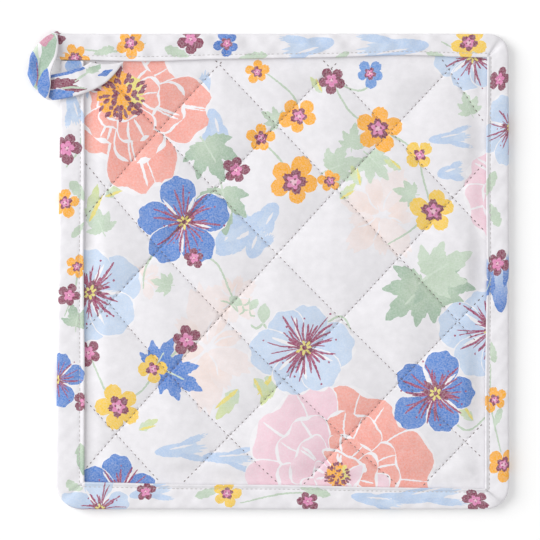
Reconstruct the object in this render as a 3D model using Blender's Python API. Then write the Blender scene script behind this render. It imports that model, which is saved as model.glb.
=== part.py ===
"""A quilted cotton pot holder that lies on its back: a padded panel sewn in diamonds, a folded strip
bound round its edge, and a hanging loop at its top left corner. +Z is up, out of the printed face,
+Y runs to the top edge, and the origin is the middle of the panel's flat back."""

import math

import bmesh
import bpy
from mathutils import Vector

MM = 0.001

# Binding, in mm. The edge isn't quite square: its left side leans out towards the bottom.
TOP_Y = 105.2
BOTTOM_Y = -105.3
LEFT_X_AT_TOP = -98.6
LEFT_X_AT_BOTTOM = -101.0
RIGHT_X_AT_TOP = 99.7
RIGHT_X_AT_BOTTOM = 100.0
INNER_TOP_LEFT = (-88.2, 93.5)
INNER_BOTTOM_LEFT = (-88.0, -93.0)
INNER_BOTTOM_RIGHT = (89.1, -96.0)
INNER_TOP_RIGHT = (90.1, 94.6)
CORNER_RADIUS = {"bottom_left": 11.9, "bottom_right": 10.4, "top_right": 8.8}
INNER_CORNER_RADIUS = 0.5
GAP = 0.3

# The folded strip's section: share of the way from its outer edge to its inner edge, height in mm,
# and how far a mitre presses that point down. It runs over the front, round the slot that holds
# the panel's edge, and back along the underside.
STRIP_SECTION = (
    (0.000, 2.50, 0.2),
    (0.035, 3.70, 0.8),
    (0.130, 4.50, 1.0),
    (0.330, 4.80, 1.0),
    (0.580, 4.68, 1.0),
    (0.790, 4.40, 0.8),
    (0.870, 5.00, 0.5),
    (0.940, 5.35, 0.2),
    (1.000, 4.90, 0.0),
    (1.000, 4.05, 0.0),
    (0.970, 3.70, 0.0),
    (0.260, 3.70, 0.0),
    (0.190, 3.50, 0.0),
    (0.165, 2.50, 0.0),
    (0.190, 1.50, 0.0),
    (0.260, 1.30, 0.0),
    (0.970, 1.30, 0.0),
    (0.985, 1.05, 0.0),
    (0.985, 0.00, 0.0),
    (0.160, 0.00, 0.0),
    (0.045, 0.90, 0.0),
)
MITRE_DEPTH = 0.7
STATIONS_ON_SIDE = 13
STATIONS_ON_CORNER = 9

# How much wider than its straight line the strip is, at even steps along each side, in mm.
SIDE_WAVES = {
    "left": (0.0, 0.3, -0.2, 0.2, 0.0),
    "bottom": (0.0, -0.3, 0.2, -0.1, 0.0),
    "right": (0.0, 0.2, -0.2, 0.3, 0.0),
    "top": (0.0, -1.2, -0.3, 0.0, 0.9, 0.0),
}

# Quilting. A falling line runs down to the right and a rising line up to the right. Each row gives
# the line's place across its run, how far that shifts over 100 mm of run, and its bow, in mm.
FALLING_LINES = (
    (-103.3, -4.7, 0.0),
    (-67.9, -4.6, 7.1),
    (-33.5, -1.8, 4.0),
    (3.4, -1.1, 1.2),
    (42.1, -3.8, -0.9),
    (77.0, -2.8, -0.2),
    (112.6, -20.0, 0.0),
)
RISING_LINES = (
    (-121.0, -1.0, 0.0),
    (-82.9, -6.4, 4.4),
    (-46.9, -3.0, 1.1),
    (-7.3, -4.6, 0.9),
    (33.2, -3.0, -1.6),
    (70.9, -2.4, 1.4),
    (110.2, -2.0, 0.0),
)
SPREAD = 100.0
CROSSING_TURNS = 6
STEPS_ACROSS_DIAMOND = (0.0, 0.06, 0.25, 0.5, 0.75, 0.94)
DIAMONDS_ACROSS = range(-1, 8)
STITCH_HEIGHT = 3.7
PUFF_HEIGHT = 2.2
PUFF_SHARPNESS = 3.0
BACK_GROOVE = 0.5
BACK_GROOVE_WIDTH = 1.7

# The panel's edge, pressed thin to enter the binding's slot.
PANEL_INSET = 3.2
EDGE_TOP = 3.4
EDGE_BOTTOM = 1.6
PRESSED_UP_TO = 1.6
PRESSED_WIDTH = 8.0
BACK_STEP = (1.6, 3.4)
CUT_TOLERANCE = 1e-4
MERGE_DISTANCE = 0.15
SHARP_ANGLE = math.radians(50)

# Hanging loop: a doubled strip that is folded twice across its length. Each row gives the distance
# along the strip, its heading in degrees while still unfolded, its width, how far its cross lines
# slant, how far it is lifted once folded, and the depth of the trough along its middle, in mm.
LOOP_ROWS = (
    (0.0, 170.0, 11.6, 0.18, 0.0, 0.0),
    (7.0, 174.0, 11.4, -0.60, 0.0, 0.0),
    (12.0, 181.0, 9.8, -0.20, 0.1, 0.6),
    (17.0, 180.0, 8.9, 0.20, 0.3, 1.8),
    (22.0, 175.0, 9.2, 0.60, 0.3, 1.7),
    (27.0, 174.0, 10.4, 0.90, 0.3, 0.6),
    (31.0, 187.0, 11.2, 0.70, 0.4, 0.1),
    (37.0, 198.0, 11.4, 0.45, 1.8, 0.0),
    (46.0, 206.0, 11.4, 0.45, 2.25, 0.0),
    (52.0, 216.0, 11.4, 0.60, 1.3, 0.0),
    (58.0, 234.0, 11.2, 0.80, 0.9, 0.0),
    (64.0, 244.0, 11.0, 1.0, 0.6, 0.0),
    (74.0, 244.0, 11.0, 1.0, 0.6, 0.0),
)
LOOP_START = (-99.1, 99.7)
LOOP_START_HEIGHT = 4.1
LOOP_THICKNESS = 1.3
LOOP_LENGTH = 60.4
FOLD_OVER = {"at": 7.9, "angle": 41.0, "radius": 1.55, "bulge": 1.6}
FOLD_UNDER = {"at": 26.9, "angle": -45.0, "radius": 1.35, "bulge": 1.6}
FOLD_HALF_LENGTH = 8.0
BULGE_FADE = 8.0
LOOP_SECTIONS = 52
HEADING_STEPS = 40
LOOP_ACROSS = (-1.0, -0.88, -0.6, -0.3, 0.0, 0.3, 0.6, 0.88, 1.0)
LOOP_EDGE_HEIGHT = 0.35

COLOURS = {
    "quilted_panel": (0.90, 0.86, 0.87),
    "binding": (0.86, 0.83, 0.86),
    "hanging_loop": (0.55, 0.66, 0.80),
}


def clear_scene():
    for found in list(bpy.data.objects):
        bpy.data.objects.remove(found)


def cloth_material(name):
    material = bpy.data.materials.new(name + "_cotton")
    material.use_nodes = True
    shader = material.node_tree.nodes["Principled BSDF"]
    shader.inputs["Base Color"].default_value = (*COLOURS[name], 1.0)
    shader.inputs["Roughness"].default_value = 0.9
    shader.inputs["Metallic"].default_value = 0.0
    return material


def add_object(name, shape, collection):
    """A smooth-shaded object from a bmesh in mm."""
    bmesh.ops.scale(shape, vec=(MM, MM, MM), verts=shape.verts)
    bmesh.ops.recalc_face_normals(shape, faces=shape.faces)
    mesh = bpy.data.meshes.new(name)
    shape.to_mesh(mesh)
    shape.free()
    mesh.shade_smooth()
    mesh.set_sharp_from_angle(angle=SHARP_ANGLE)
    mesh.materials.append(cloth_material(name))
    made = bpy.data.objects.new(name, mesh)
    collection.objects.link(made)


def smooth(share):
    share = min(max(share, 0.0), 1.0)
    return share * share * (3 - 2 * share)


def read_row(rows, place):
    """The row at a place along the table, eased between the rows on either side of it."""
    for before, after in zip(rows, rows[1:]):
        if place <= after[0]:
            break
    share = smooth((place - before[0]) / (after[0] - before[0]))
    return [a + (b - a) * share for a, b in zip(before, after)]


def loft(sections):
    """A closed body through equal rings of points, capped at both ends."""
    shape = bmesh.new()
    rings = [[shape.verts.new(point) for point in section] for section in sections]
    for ring, following in zip(rings, rings[1:]):
        for i in range(len(ring)):
            j = (i + 1) % len(ring)
            shape.faces.new((ring[i], ring[j], following[j], following[i]))
    shape.faces.new(rings[0])
    shape.faces.new(list(reversed(rings[-1])))
    return shape


def line_places(lines, run):
    """Where each sewn line crosses, at this place along its run."""
    return [at + lean * run / SPREAD + bow * (run / SPREAD) ** 2 for at, lean, bow in lines]


def place_between(value, places):
    """A place counted in lines: 2.5 is halfway between lines 2 and 3. It runs on past both ends."""
    last = len(places) - 2
    index = 0
    while index < last and value > places[index + 1]:
        index += 1
    return index + (value - places[index]) / (places[index + 1] - places[index])


def place_at(count, places):
    """The other way round: where a count of lines lies."""
    index = min(max(math.floor(count), 0), len(places) - 2)
    return places[index] + (count - index) * (places[index + 1] - places[index])


def puff(count):
    """0 on a sewn line, and 1 halfway to the next."""
    share = count - math.floor(count)
    return 1 - abs(2 * share - 1) ** PUFF_SHARPNESS


def inner_edge_lines():
    """Each straight inner edge of the binding, as a point on it and its unit normal inwards."""
    corners = [INNER_TOP_LEFT, INNER_BOTTOM_LEFT, INNER_BOTTOM_RIGHT, INNER_TOP_RIGHT]
    lines = []
    for start, end in zip(corners, corners[1:] + corners[:1]):
        start = Vector(start)
        along = (Vector(end) - start).normalized()
        lines.append((start, Vector((-along.y, along.x))))
    return lines


def inside_binding(x, y):
    """How far a point lies inwards of the binding's inner edge."""
    return min((Vector((x, y)) - start).dot(inwards) for start, inwards in inner_edge_lines())


def front_height(x, y):
    falling_place = (x + y) / math.sqrt(2)
    rising_place = (x - y) / math.sqrt(2)
    falling = place_between(falling_place, line_places(FALLING_LINES, rising_place))
    rising = place_between(rising_place, line_places(RISING_LINES, falling_place))
    quilted = STITCH_HEIGHT + PUFF_HEIGHT * puff(falling) * puff(rising)
    free = smooth((inside_binding(x, y) - PRESSED_UP_TO) / PRESSED_WIDTH)
    return EDGE_TOP + (quilted - EDGE_TOP) * free


def back_height(x, y):
    falling_place = (x + y) / math.sqrt(2)
    rising_place = (x - y) / math.sqrt(2)
    to_falling = min(abs(falling_place - at) for at in line_places(FALLING_LINES, rising_place))
    to_rising = min(abs(rising_place - at) for at in line_places(RISING_LINES, falling_place))
    groove = BACK_GROOVE * max(0.0, 1 - min(to_falling, to_rising) / BACK_GROOVE_WIDTH)
    near, far = BACK_STEP
    step = 1 - (inside_binding(x, y) - near) / (far - near)
    return max(groove, EDGE_BOTTOM * min(max(step, 0.0), 1.0))


def crossing(falling_count, rising_count):
    """Where two sewn lines cross, closed in on by turns. Counts in between give the points of a
    diamond's inside."""
    falling_place, rising_place = 0.0, 0.0
    for _ in range(CROSSING_TURNS):
        falling_place = place_at(falling_count, line_places(FALLING_LINES, rising_place))
        rising_place = place_at(rising_count, line_places(RISING_LINES, falling_place))
    across = (falling_place + rising_place) / math.sqrt(2)
    up = (falling_place - rising_place) / math.sqrt(2)
    return across, up


def outline_planes():
    """The panel's rounded outline, as points on it with their outward normals."""
    lean = (LEFT_X_AT_TOP - LEFT_X_AT_BOTTOM) / (TOP_Y - BOTTOM_Y)
    planes = [
        (Vector((LEFT_X_AT_TOP, TOP_Y)), Vector((-1.0, lean))),
        (Vector((0.0, BOTTOM_Y)), Vector((0.0, -1.0))),
        (Vector((RIGHT_X_AT_TOP, TOP_Y)), Vector((1.0, 0.0))),
        (Vector((0.0, TOP_Y)), Vector((0.0, 1.0))),
    ]
    rounded = (
        (RIGHT_X_AT_TOP, TOP_Y, CORNER_RADIUS["top_right"], 0),
        (LEFT_X_AT_BOTTOM, BOTTOM_Y, CORNER_RADIUS["bottom_left"], 180),
        (RIGHT_X_AT_BOTTOM, BOTTOM_Y, CORNER_RADIUS["bottom_right"], 270),
    )
    for x, y, radius, first_angle in rounded:
        centre = Vector((x - math.copysign(radius, x), y - math.copysign(radius, y)))
        for share in (0.25, 0.5, 0.75):
            angle = math.radians(first_angle + 90 * share)
            outwards = Vector((math.cos(angle), math.sin(angle)))
            planes.append((centre + outwards * radius, outwards))
    return planes


def quilted_panel(collection):
    counts = [line + step for line in DIAMONDS_ACROSS for step in STEPS_ACROSS_DIAMOND]
    cells = len(counts) - 1
    shape = bmesh.new()
    bmesh.ops.create_grid(shape, x_segments=cells, y_segments=cells, size=0.5)
    for vert in shape.verts:
        column = round((vert.co.x + 0.5) * cells)
        row = round((vert.co.y + 0.5) * cells)
        vert.co.xy = crossing(counts[column], counts[row])
    for point, outwards in outline_planes():
        outwards = outwards.normalized().to_3d()
        cut = point.to_3d() - outwards * PANEL_INSET
        everything = [*shape.verts, *shape.edges, *shape.faces]
        bmesh.ops.bisect_plane(
            shape,
            geom=everything,
            dist=CUT_TOLERANCE,
            plane_co=cut,
            plane_no=outwards,
            clear_outer=True,
        )
    for start, inwards in inner_edge_lines():
        for depth in (*BACK_STEP, PRESSED_UP_TO + PRESSED_WIDTH / 2):
            cut = (start + inwards * depth).to_3d()
            everything = [*shape.verts, *shape.edges, *shape.faces]
            bmesh.ops.bisect_plane(
                shape,
                geom=everything,
                dist=CUT_TOLERANCE,
                plane_co=cut,
                plane_no=inwards.to_3d(),
            )
    bmesh.ops.remove_doubles(shape, verts=shape.verts, dist=MERGE_DISTANCE)
    back = bmesh.ops.extrude_face_region(shape, geom=list(shape.faces))
    back_verts = {found for found in back["geom"] if isinstance(found, bmesh.types.BMVert)}
    for vert in shape.verts:
        height = back_height if vert in back_verts else front_height
        vert.co.z = height(vert.co.x, vert.co.y)
    flat = {vert for vert in back_verts if vert.co.z == 0.0}
    flat_faces = [face for face in shape.faces if flat.issuperset(face.verts)]
    bmesh.ops.dissolve_faces(shape, faces=flat_faces)
    bmesh.ops.triangulate(shape, faces=[face for face in shape.faces if len(face.verts) > 4])
    add_object("quilted_panel", shape, collection)


def side_stations(outer_ends, inner_ends, waves):
    """The strip's edges at even steps along one side, with the inner edge's waves."""
    stations = []
    (outer_start, outer_end), (inner_start, inner_end) = outer_ends, inner_ends
    along = (inner_end - inner_start).normalized()
    inwards = Vector((-along.y, along.x))
    for step in range(1, STATIONS_ON_SIDE):
        share = step / STATIONS_ON_SIDE
        place = share * (len(waves) - 1)
        index = min(int(place), len(waves) - 2)
        wave = waves[index] + (waves[index + 1] - waves[index]) * smooth(place - index)
        inner = inner_start.lerp(inner_end, share) + inwards * wave
        stations.append((outer_start.lerp(outer_end, share), inner, 0.0))
    return stations


def corner_stations(outer_corner, inner_corner, radius, first_angle):
    """The strip fans round a corner, and its front is pressed down along the mitre."""
    towards = Vector((math.copysign(1.0, outer_corner.x), math.copysign(1.0, outer_corner.y)))
    outer_centre = outer_corner - towards * radius
    inner_centre = inner_corner - towards * INNER_CORNER_RADIUS
    stations = []
    for step in range(STATIONS_ON_CORNER):
        share = step / (STATIONS_ON_CORNER - 1)
        angle = math.radians(first_angle + 90 * share)
        outwards = Vector((math.cos(angle), math.sin(angle)))
        mitre = MITRE_DEPTH * max(0.0, 1 - abs(share - 0.5) * (STATIONS_ON_CORNER - 1))
        outer = outer_centre + outwards * radius
        stations.append((outer, inner_centre + outwards * INNER_CORNER_RADIUS, mitre))
    return stations


def binding_stations():
    """From the strip's hidden start at the top left, down the left side and round to the loop."""
    start_y = INNER_TOP_LEFT[1] - GAP
    start = (Vector((LEFT_X_AT_TOP, start_y)), Vector((INNER_TOP_LEFT[0], start_y)), 0.0)
    end = (Vector((LEFT_X_AT_TOP, TOP_Y)), Vector((LEFT_X_AT_TOP, INNER_TOP_LEFT[1])), 0.0)
    corners = (
        corner_stations(
            Vector((LEFT_X_AT_BOTTOM, BOTTOM_Y)),
            Vector(INNER_BOTTOM_LEFT),
            CORNER_RADIUS["bottom_left"],
            180,
        ),
        corner_stations(
            Vector((RIGHT_X_AT_BOTTOM, BOTTOM_Y)),
            Vector(INNER_BOTTOM_RIGHT),
            CORNER_RADIUS["bottom_right"],
            270,
        ),
        corner_stations(
            Vector((RIGHT_X_AT_TOP, TOP_Y)),
            Vector(INNER_TOP_RIGHT),
            CORNER_RADIUS["top_right"],
            0,
        ),
    )
    stations = [start]
    for side, corner in zip(("left", "bottom", "right"), corners):
        outer_ends = (stations[-1][0], corner[0][0])
        inner_ends = (stations[-1][1], corner[0][1])
        stations += side_stations(outer_ends, inner_ends, SIDE_WAVES[side]) + corner
    outer_ends = (stations[-1][0], end[0])
    inner_ends = (stations[-1][1], end[1])
    return stations + side_stations(outer_ends, inner_ends, SIDE_WAVES["top"]) + [end]


def binding(collection):
    sections = []
    for outer, inner, mitre in binding_stations():
        section = []
        for share, height, pressed in STRIP_SECTION:
            place = outer.lerp(inner, share)
            section.append((place.x, place.y, height - mitre * pressed))
        sections.append(section)
    add_object("binding", loft(sections), collection)


def unfolded_centre(distance):
    """The strip's middle and heading at a distance along it, still unfolded."""
    stride = distance / HEADING_STEPS
    place = Vector(LOOP_START)
    for step in range(HEADING_STEPS):
        heading = math.radians(read_row(LOOP_ROWS, stride * (step + 0.5))[1])
        place += Vector((math.cos(heading), math.sin(heading))) * stride
    return place, math.radians(read_row(LOOP_ROWS, distance)[1])


def fold(point, fold_row):
    """Rolls what lies beyond a slanting line up and over it, round a half turn of its radius."""
    radius = fold_row["radius"]
    angle = math.radians(fold_row["angle"])
    along = Vector((math.cos(angle), math.sin(angle)))
    beyond = Vector((-along.y, along.x))
    centre, heading = unfolded_centre(fold_row["at"])
    if beyond.dot(Vector((math.cos(heading), math.sin(heading)))) < 0:
        beyond = -beyond
    from_line = (point.xy - centre).dot(beyond)
    from_middle = (point.xy - centre).dot(along) / FOLD_HALF_LENGTH
    bulge = fold_row["bulge"] * max(0.0, 1 - from_middle**2) * (1 - smooth(from_line / BULGE_FADE))
    distance = from_line + radius * math.pi / 2 - bulge
    if distance <= 0:
        return point
    on_line = point.xy - beyond * distance
    axis_height = LOOP_START_HEIGHT + radius
    turned = min(distance / radius, math.pi)
    reach = axis_height - point.z
    past = distance - turned * radius
    place = on_line + beyond * (reach * math.sin(turned) - past)
    return Vector((place.x, place.y, axis_height - reach * math.cos(turned)))


def loop_point(distance, across, above):
    """A point of the folded strip: across runs from -1 to 1 and above from -1 to 1."""
    _, _, width, slant, _, _ = read_row(LOOP_ROWS, distance)
    run = distance + slant * across * width / 2
    _, _, width, _, lift, trough = read_row(LOOP_ROWS, run)
    centre, heading = unfolded_centre(run)
    sideways = Vector((math.sin(heading), -math.cos(heading)))
    flat = (centre + sideways * (across * width / 2)).to_3d()
    flat.z = LOOP_START_HEIGHT + above * LOOP_THICKNESS / 2
    folded = fold(fold(flat, FOLD_UNDER), FOLD_OVER)
    folded.z += lift - trough * (1 - abs(across)) + trough / 2
    return folded


def hanging_loop(collection):
    around = [(across, 1.0) for across in LOOP_ACROSS[1:-1]]
    around += [(1.0, LOOP_EDGE_HEIGHT), (1.0, -LOOP_EDGE_HEIGHT)]
    around += [(across, -1.0) for across in reversed(LOOP_ACROSS[1:-1])]
    around += [(-1.0, -LOOP_EDGE_HEIGHT), (-1.0, LOOP_EDGE_HEIGHT)]
    sections = []
    for step in range(LOOP_SECTIONS + 1):
        distance = LOOP_LENGTH * step / LOOP_SECTIONS
        sections.append([loop_point(distance, across, above) for across, above in around])
    add_object("hanging_loop", loft(sections), collection)


def main():
    clear_scene()
    collection = bpy.data.collections.new("pot_holder")
    bpy.context.scene.collection.children.link(collection)
    quilted_panel(collection)
    binding(collection)
    hanging_loop(collection)


main()
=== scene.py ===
"""The looks of a quilted cotton pot holder: printed cloth over wadding, sewn in diamonds, with a
folded binding, a hanging loop and its sewing. Shapes are worked out in mm, +X right, +Y up."""
import math

import bmesh
import bpy
import numpy as np
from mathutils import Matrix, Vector, geometry


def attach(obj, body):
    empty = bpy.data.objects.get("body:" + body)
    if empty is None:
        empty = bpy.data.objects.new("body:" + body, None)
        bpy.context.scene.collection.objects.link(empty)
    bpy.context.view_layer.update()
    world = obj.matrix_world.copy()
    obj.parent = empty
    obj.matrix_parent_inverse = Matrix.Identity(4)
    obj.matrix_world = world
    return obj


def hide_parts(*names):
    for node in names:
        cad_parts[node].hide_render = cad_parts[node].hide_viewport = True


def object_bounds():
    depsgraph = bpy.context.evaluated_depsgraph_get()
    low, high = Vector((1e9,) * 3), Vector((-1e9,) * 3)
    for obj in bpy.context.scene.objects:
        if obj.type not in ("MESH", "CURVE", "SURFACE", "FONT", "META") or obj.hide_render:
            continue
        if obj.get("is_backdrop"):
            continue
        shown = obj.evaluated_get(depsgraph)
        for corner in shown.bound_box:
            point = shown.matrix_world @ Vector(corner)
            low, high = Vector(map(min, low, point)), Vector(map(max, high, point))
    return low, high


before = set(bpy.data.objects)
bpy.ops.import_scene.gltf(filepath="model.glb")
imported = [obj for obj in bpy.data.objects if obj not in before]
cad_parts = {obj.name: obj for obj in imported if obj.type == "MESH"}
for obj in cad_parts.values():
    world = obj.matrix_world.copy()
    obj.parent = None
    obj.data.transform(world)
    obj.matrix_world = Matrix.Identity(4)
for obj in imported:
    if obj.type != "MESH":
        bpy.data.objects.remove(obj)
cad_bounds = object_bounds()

MM = 0.001
chance = np.random.default_rng(11)

# The solids' own sizes, in mm, repeated from the part's source.
TOP_Y = 105.2
BOTTOM_Y = -105.3
LEFT_X_AT_TOP = -98.6
LEFT_X_AT_BOTTOM = -101.0
RIGHT_X_AT_TOP = 99.7
RIGHT_X_AT_BOTTOM = 100.0
INNER_TOP_LEFT = (-88.2, 93.5)
INNER_BOTTOM_LEFT = (-88.0, -93.0)
INNER_BOTTOM_RIGHT = (89.1, -96.0)
INNER_TOP_RIGHT = (90.1, 94.6)
CORNER_RADIUS = {"bottom_left": 11.9, "bottom_right": 10.4, "top_right": 8.8}
HIDDEN_CORNER_RADIUS = 4.0
PANEL_INSET = 3.2
OUTLINE_STEP = 2.0
FIELD_HALF_WIDTH = 100
FIELD_HALF_HEIGHT = 105
FIELD_SHIFT = 0.2
EDGE_TOP = 3.4
EDGE_BOTTOM = 1.6
PRESSED_UP_TO = 1.6
PRESSED_WIDTH = 8.0
BACK_STEP = (1.6, 3.4)
BACK_GROOVE = 0.5
BACK_GROOVE_WIDTH = 1.7
STITCH_HEIGHT = 3.7
PUFF_HEIGHT = 2.2
PUFF_SHARPNESS = 3.0

# Sewn lines: place across the run, its shift over 100 mm of run, and its bow.
FALLING_LINES = (
    (-103.3, -4.7, 0.0),
    (-67.9, -4.6, 7.1),
    (-33.5, -1.8, 4.0),
    (3.4, -1.1, 1.2),
    (42.1, -3.8, -0.9),
    (77.0, -2.8, -0.2),
    (112.6, -20.0, 0.0),
)
RISING_LINES = (
    (-121.0, -1.0, 0.0),
    (-82.9, -6.4, 4.4),
    (-46.9, -3.0, 1.1),
    (-7.3, -4.6, 0.9),
    (33.2, -3.0, -1.6),
    (70.9, -2.4, 1.4),
    (110.2, -2.0, 0.0),
)
SPREAD = 100.0
LINE_REACH = 150.0
LINE_OVERRUN = 1.5
FEWEST_ON_LINE = 3

# Colours of the print and the threads, as seen.
INK = {
    "ground": "EEECF0",
    "white": "F4F2F5",
    "coral": "F59A8C",
    "pale coral": "F8B3A6",
    "pink": "F3C3D3",
    "peach": "F3E1DB",
    "pale peach": "F2E7E6",
    "pale pink": "F6DCE5",
    "blue": "4A7CCB",
    "mid blue": "5B8AD4",
    "light blue": "6E9BDB",
    "pale blue": "BAD0EE",
    "paler blue": "CADBF1",
    "burgundy": "8A3E58",
    "ray": "A1466C",
    "bright pink": "E585B8",
    "mauve": "C98AA0",
    "orange": "FFB32C",
    "yellow": "F9CF4E",
    "lemon": "EBDD78",
    "sage": "BFD2BB",
    "deep sage": "A2BDA6",
    "pale sage": "CBDCC8",
    "lime": "D5E0A0",
}


def ink(name):
    """A colour's linear values."""
    code = INK[name]
    seen = np.array([int(code[i : i + 2], 16) / 255 for i in (0, 2, 4)])
    return np.where(seen <= 0.04045, seen / 12.92, ((seen + 0.055) / 1.055) ** 2.4)


def smooth(share):
    share = np.clip(share, 0.0, 1.0)
    return share * share * (3 - 2 * share)


def running_total(steps):
    return np.concatenate([[0], np.cumsum(steps)])


def add_object(name, data):
    made = bpy.data.objects.new(name, data)
    bpy.context.collection.objects.link(made)
    return made


# Height of the quilting.
def diagonals(x, y):
    """Places across the falling and the rising lines. Given those, it gives x and y again."""
    return (x + y) / math.sqrt(2), (x - y) / math.sqrt(2)


def line_places(lines, run):
    """Where each sewn line crosses, a row for each line, at these places along its run."""
    table = np.array(lines)[:, :, None]
    along = np.asarray(run, dtype=float).ravel() / SPREAD
    return table[:, 0] + table[:, 1] * along + table[:, 2] * along**2


def place_between(values, places):
    """Places counted in lines: 2.5 is halfway between lines 2 and 3."""
    last = len(places) - 2
    index = np.clip((values > places[1:]).sum(axis=0), 0, last)
    columns = np.arange(len(values))
    before, after = places[index, columns], places[index + 1, columns]
    return index + (values - before) / (after - before)


def line_counts(x, y):
    falling_place, rising_place = diagonals(x, y)
    falling = place_between(falling_place, line_places(FALLING_LINES, rising_place))
    rising = place_between(rising_place, line_places(RISING_LINES, falling_place))
    return falling, rising


def distance_to_lines(x, y):
    """How far each point lies from the nearest sewn line."""
    falling_place, rising_place = diagonals(x, y)
    to_falling = np.abs(falling_place - line_places(FALLING_LINES, rising_place)).min(axis=0)
    to_rising = np.abs(rising_place - line_places(RISING_LINES, falling_place)).min(axis=0)
    return np.minimum(to_falling, to_rising)


def inside_binding(x, y):
    """How far a point lies inwards of the binding's inner edge."""
    corners = [INNER_TOP_LEFT, INNER_BOTTOM_LEFT, INNER_BOTTOM_RIGHT, INNER_TOP_RIGHT]
    depths = []
    for start, end in zip(corners, corners[1:] + corners[:1]):
        along = (Vector(end) - Vector(start)).normalized()
        depths.append((x - start[0]) * -along.y + (y - start[1]) * along.x)
    return np.min(depths, axis=0)


def puff(counts):
    share = counts - np.floor(counts)
    return 1 - np.abs(2 * share - 1) ** PUFF_SHARPNESS


def ripples(x, y, waves):
    """Soft uneven waves: each row of the table is a wavelength, heading, phase and height."""
    total = np.zeros_like(x)
    for length, heading, phase, height in waves:
        along = x * math.cos(heading) + y * math.sin(heading)
        total += height * np.sin(2 * math.pi * along / length + phase)
    return total


CLOTH_WAVES = (
    (37.0, 0.4, 0.3, 0.10),
    (29.0, 1.9, 1.2, 0.06),
    (19.0, 2.8, 2.1, 0.03),
)


# The puffs, blown up by a cloth simulation that is held along the sewn lines. It runs on a sheet
# ten times the real size, whose rows and columns follow the lines. The height that most of it
# stays under, by percentile, is made the puffs' height, and none rises past a share of that.
FIRST_COUNT = -1
DIAMONDS = 8
RELIEF_STEPS = 10
SIMULATION_SCALE = 10.0
SLACK = 0.022
PRESSURE = 4.0
FRAMES = 20
EASING = 5
FIRST_LIFT = 0.2
EVEN_PERCENTILE = 97
HIGHEST_SHARE = 1.15
CREASE_DEPTH = 0.6
CREASE_WIDTH = 1.0


def place_at(counts, places):
    index = np.clip(np.floor(counts).astype(int), 0, len(places) - 2)
    columns = np.arange(len(counts))
    before, after = places[index, columns], places[index + 1, columns]
    return before + (counts - index) * (after - before)


def crossings(falling, rising):
    """Where counts of falling and rising lines meet, closed in on by turns."""
    falling_place, rising_place = np.zeros_like(falling), np.zeros_like(rising)
    for _ in range(6):
        falling_place = place_at(falling, line_places(FALLING_LINES, rising_place))
        rising_place = place_at(rising, line_places(RISING_LINES, falling_place))
    return diagonals(falling_place, rising_place)


def swelling_cloth(places, side, held):
    """A square sheet of cloth for pressure to swell, held where it is sewn."""
    mesh = bpy.data.meshes.new("swelling")
    corners = [i * side + j for i in range(side - 1) for j in range(side - 1)]
    mesh.from_pydata(places, [], [(a, a + 1, a + side + 1, a + side) for a in corners])
    made = add_object("swelling", mesh)
    group = made.vertex_groups.new(name="sewn")
    group.add(np.flatnonzero(held).tolist(), 1.0, "REPLACE")
    cloth = made.modifiers.new("swell", "CLOTH")
    settings = cloth.settings
    settings.quality = 8
    settings.mass = 0.3
    settings.tension_stiffness = 15
    settings.compression_stiffness = 15
    settings.shear_stiffness = 5
    settings.bending_stiffness = 0.5
    settings.vertex_group_mass = "sewn"
    settings.use_pressure = True
    settings.uniform_pressure_force = PRESSURE
    settings.shrink_min = -SLACK
    settings.effector_weights.gravity = 0
    cloth.collision_settings.use_self_collision = False
    cloth.point_cache.frame_start = 1
    cloth.point_cache.frame_end = FRAMES
    return made


def eased(height, held, side):
    """Heights drawn towards their neighbours', except where the cloth is held."""
    grid = height.reshape(side, side)
    free = ~held.reshape(side, side)[1:-1, 1:-1]
    for _ in range(EASING):
        around = grid[:-2, 1:-1] + grid[2:, 1:-1] + grid[1:-1, :-2] + grid[1:-1, 2:]
        middle = grid[1:-1, 1:-1]
        grid[1:-1, 1:-1] = np.where(free, (middle + around / 4) / 2, middle)
    return grid.ravel()


def simulated_relief(falling, rising):
    """Heights in mm at each count, read from a cloth that pressure has swollen."""
    x, y = crossings(falling, rising)
    side = DIAMONDS * RELIEF_STEPS + 1
    scale = MM * SIMULATION_SCALE
    lift = FIRST_LIFT * puff(falling) * puff(rising)
    held = np.isclose(falling, np.round(falling)) | np.isclose(rising, np.round(rising))
    sheet = swelling_cloth(np.column_stack([x, y, lift]) * scale, side, held)
    scene = bpy.context.scene
    for number in range(1, FRAMES + 1):
        scene.frame_set(number)
    swollen = sheet.evaluated_get(bpy.context.evaluated_depsgraph_get())
    places = np.empty(3 * side * side)
    swollen.data.vertices.foreach_get("co", places)
    height = places.reshape(-1, 3)[:, 2] / scale
    bpy.data.objects.remove(sheet)
    scene.frame_set(1)
    flipped = -1 if height.mean() < 0 else 1
    height = eased(np.maximum(height * flipped, 0), held, side)
    even = np.percentile(height, EVEN_PERCENTILE)
    return np.minimum(height * PUFF_HEIGHT / even, HIGHEST_SHARE * PUFF_HEIGHT)


def relief_blocks():
    """The relief of each diamond, with a border read on from its edges."""
    counts = FIRST_COUNT + np.arange(DIAMONDS * RELIEF_STEPS + 1) / RELIEF_STEPS
    falling, rising = np.meshgrid(counts, counts, indexing="ij")
    relief = simulated_relief
    heights = relief(falling.ravel(), rising.ravel()).reshape(falling.shape)
    span = RELIEF_STEPS + 1
    blocks = [[
        np.pad(heights[i : i + span, j : j + span], 1, mode="reflect", reflect_type="odd")
        for j in range(0, DIAMONDS * RELIEF_STEPS, RELIEF_STEPS)]
        for i in range(0, DIAMONDS * RELIEF_STEPS, RELIEF_STEPS)]
    return np.array(blocks)


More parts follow.
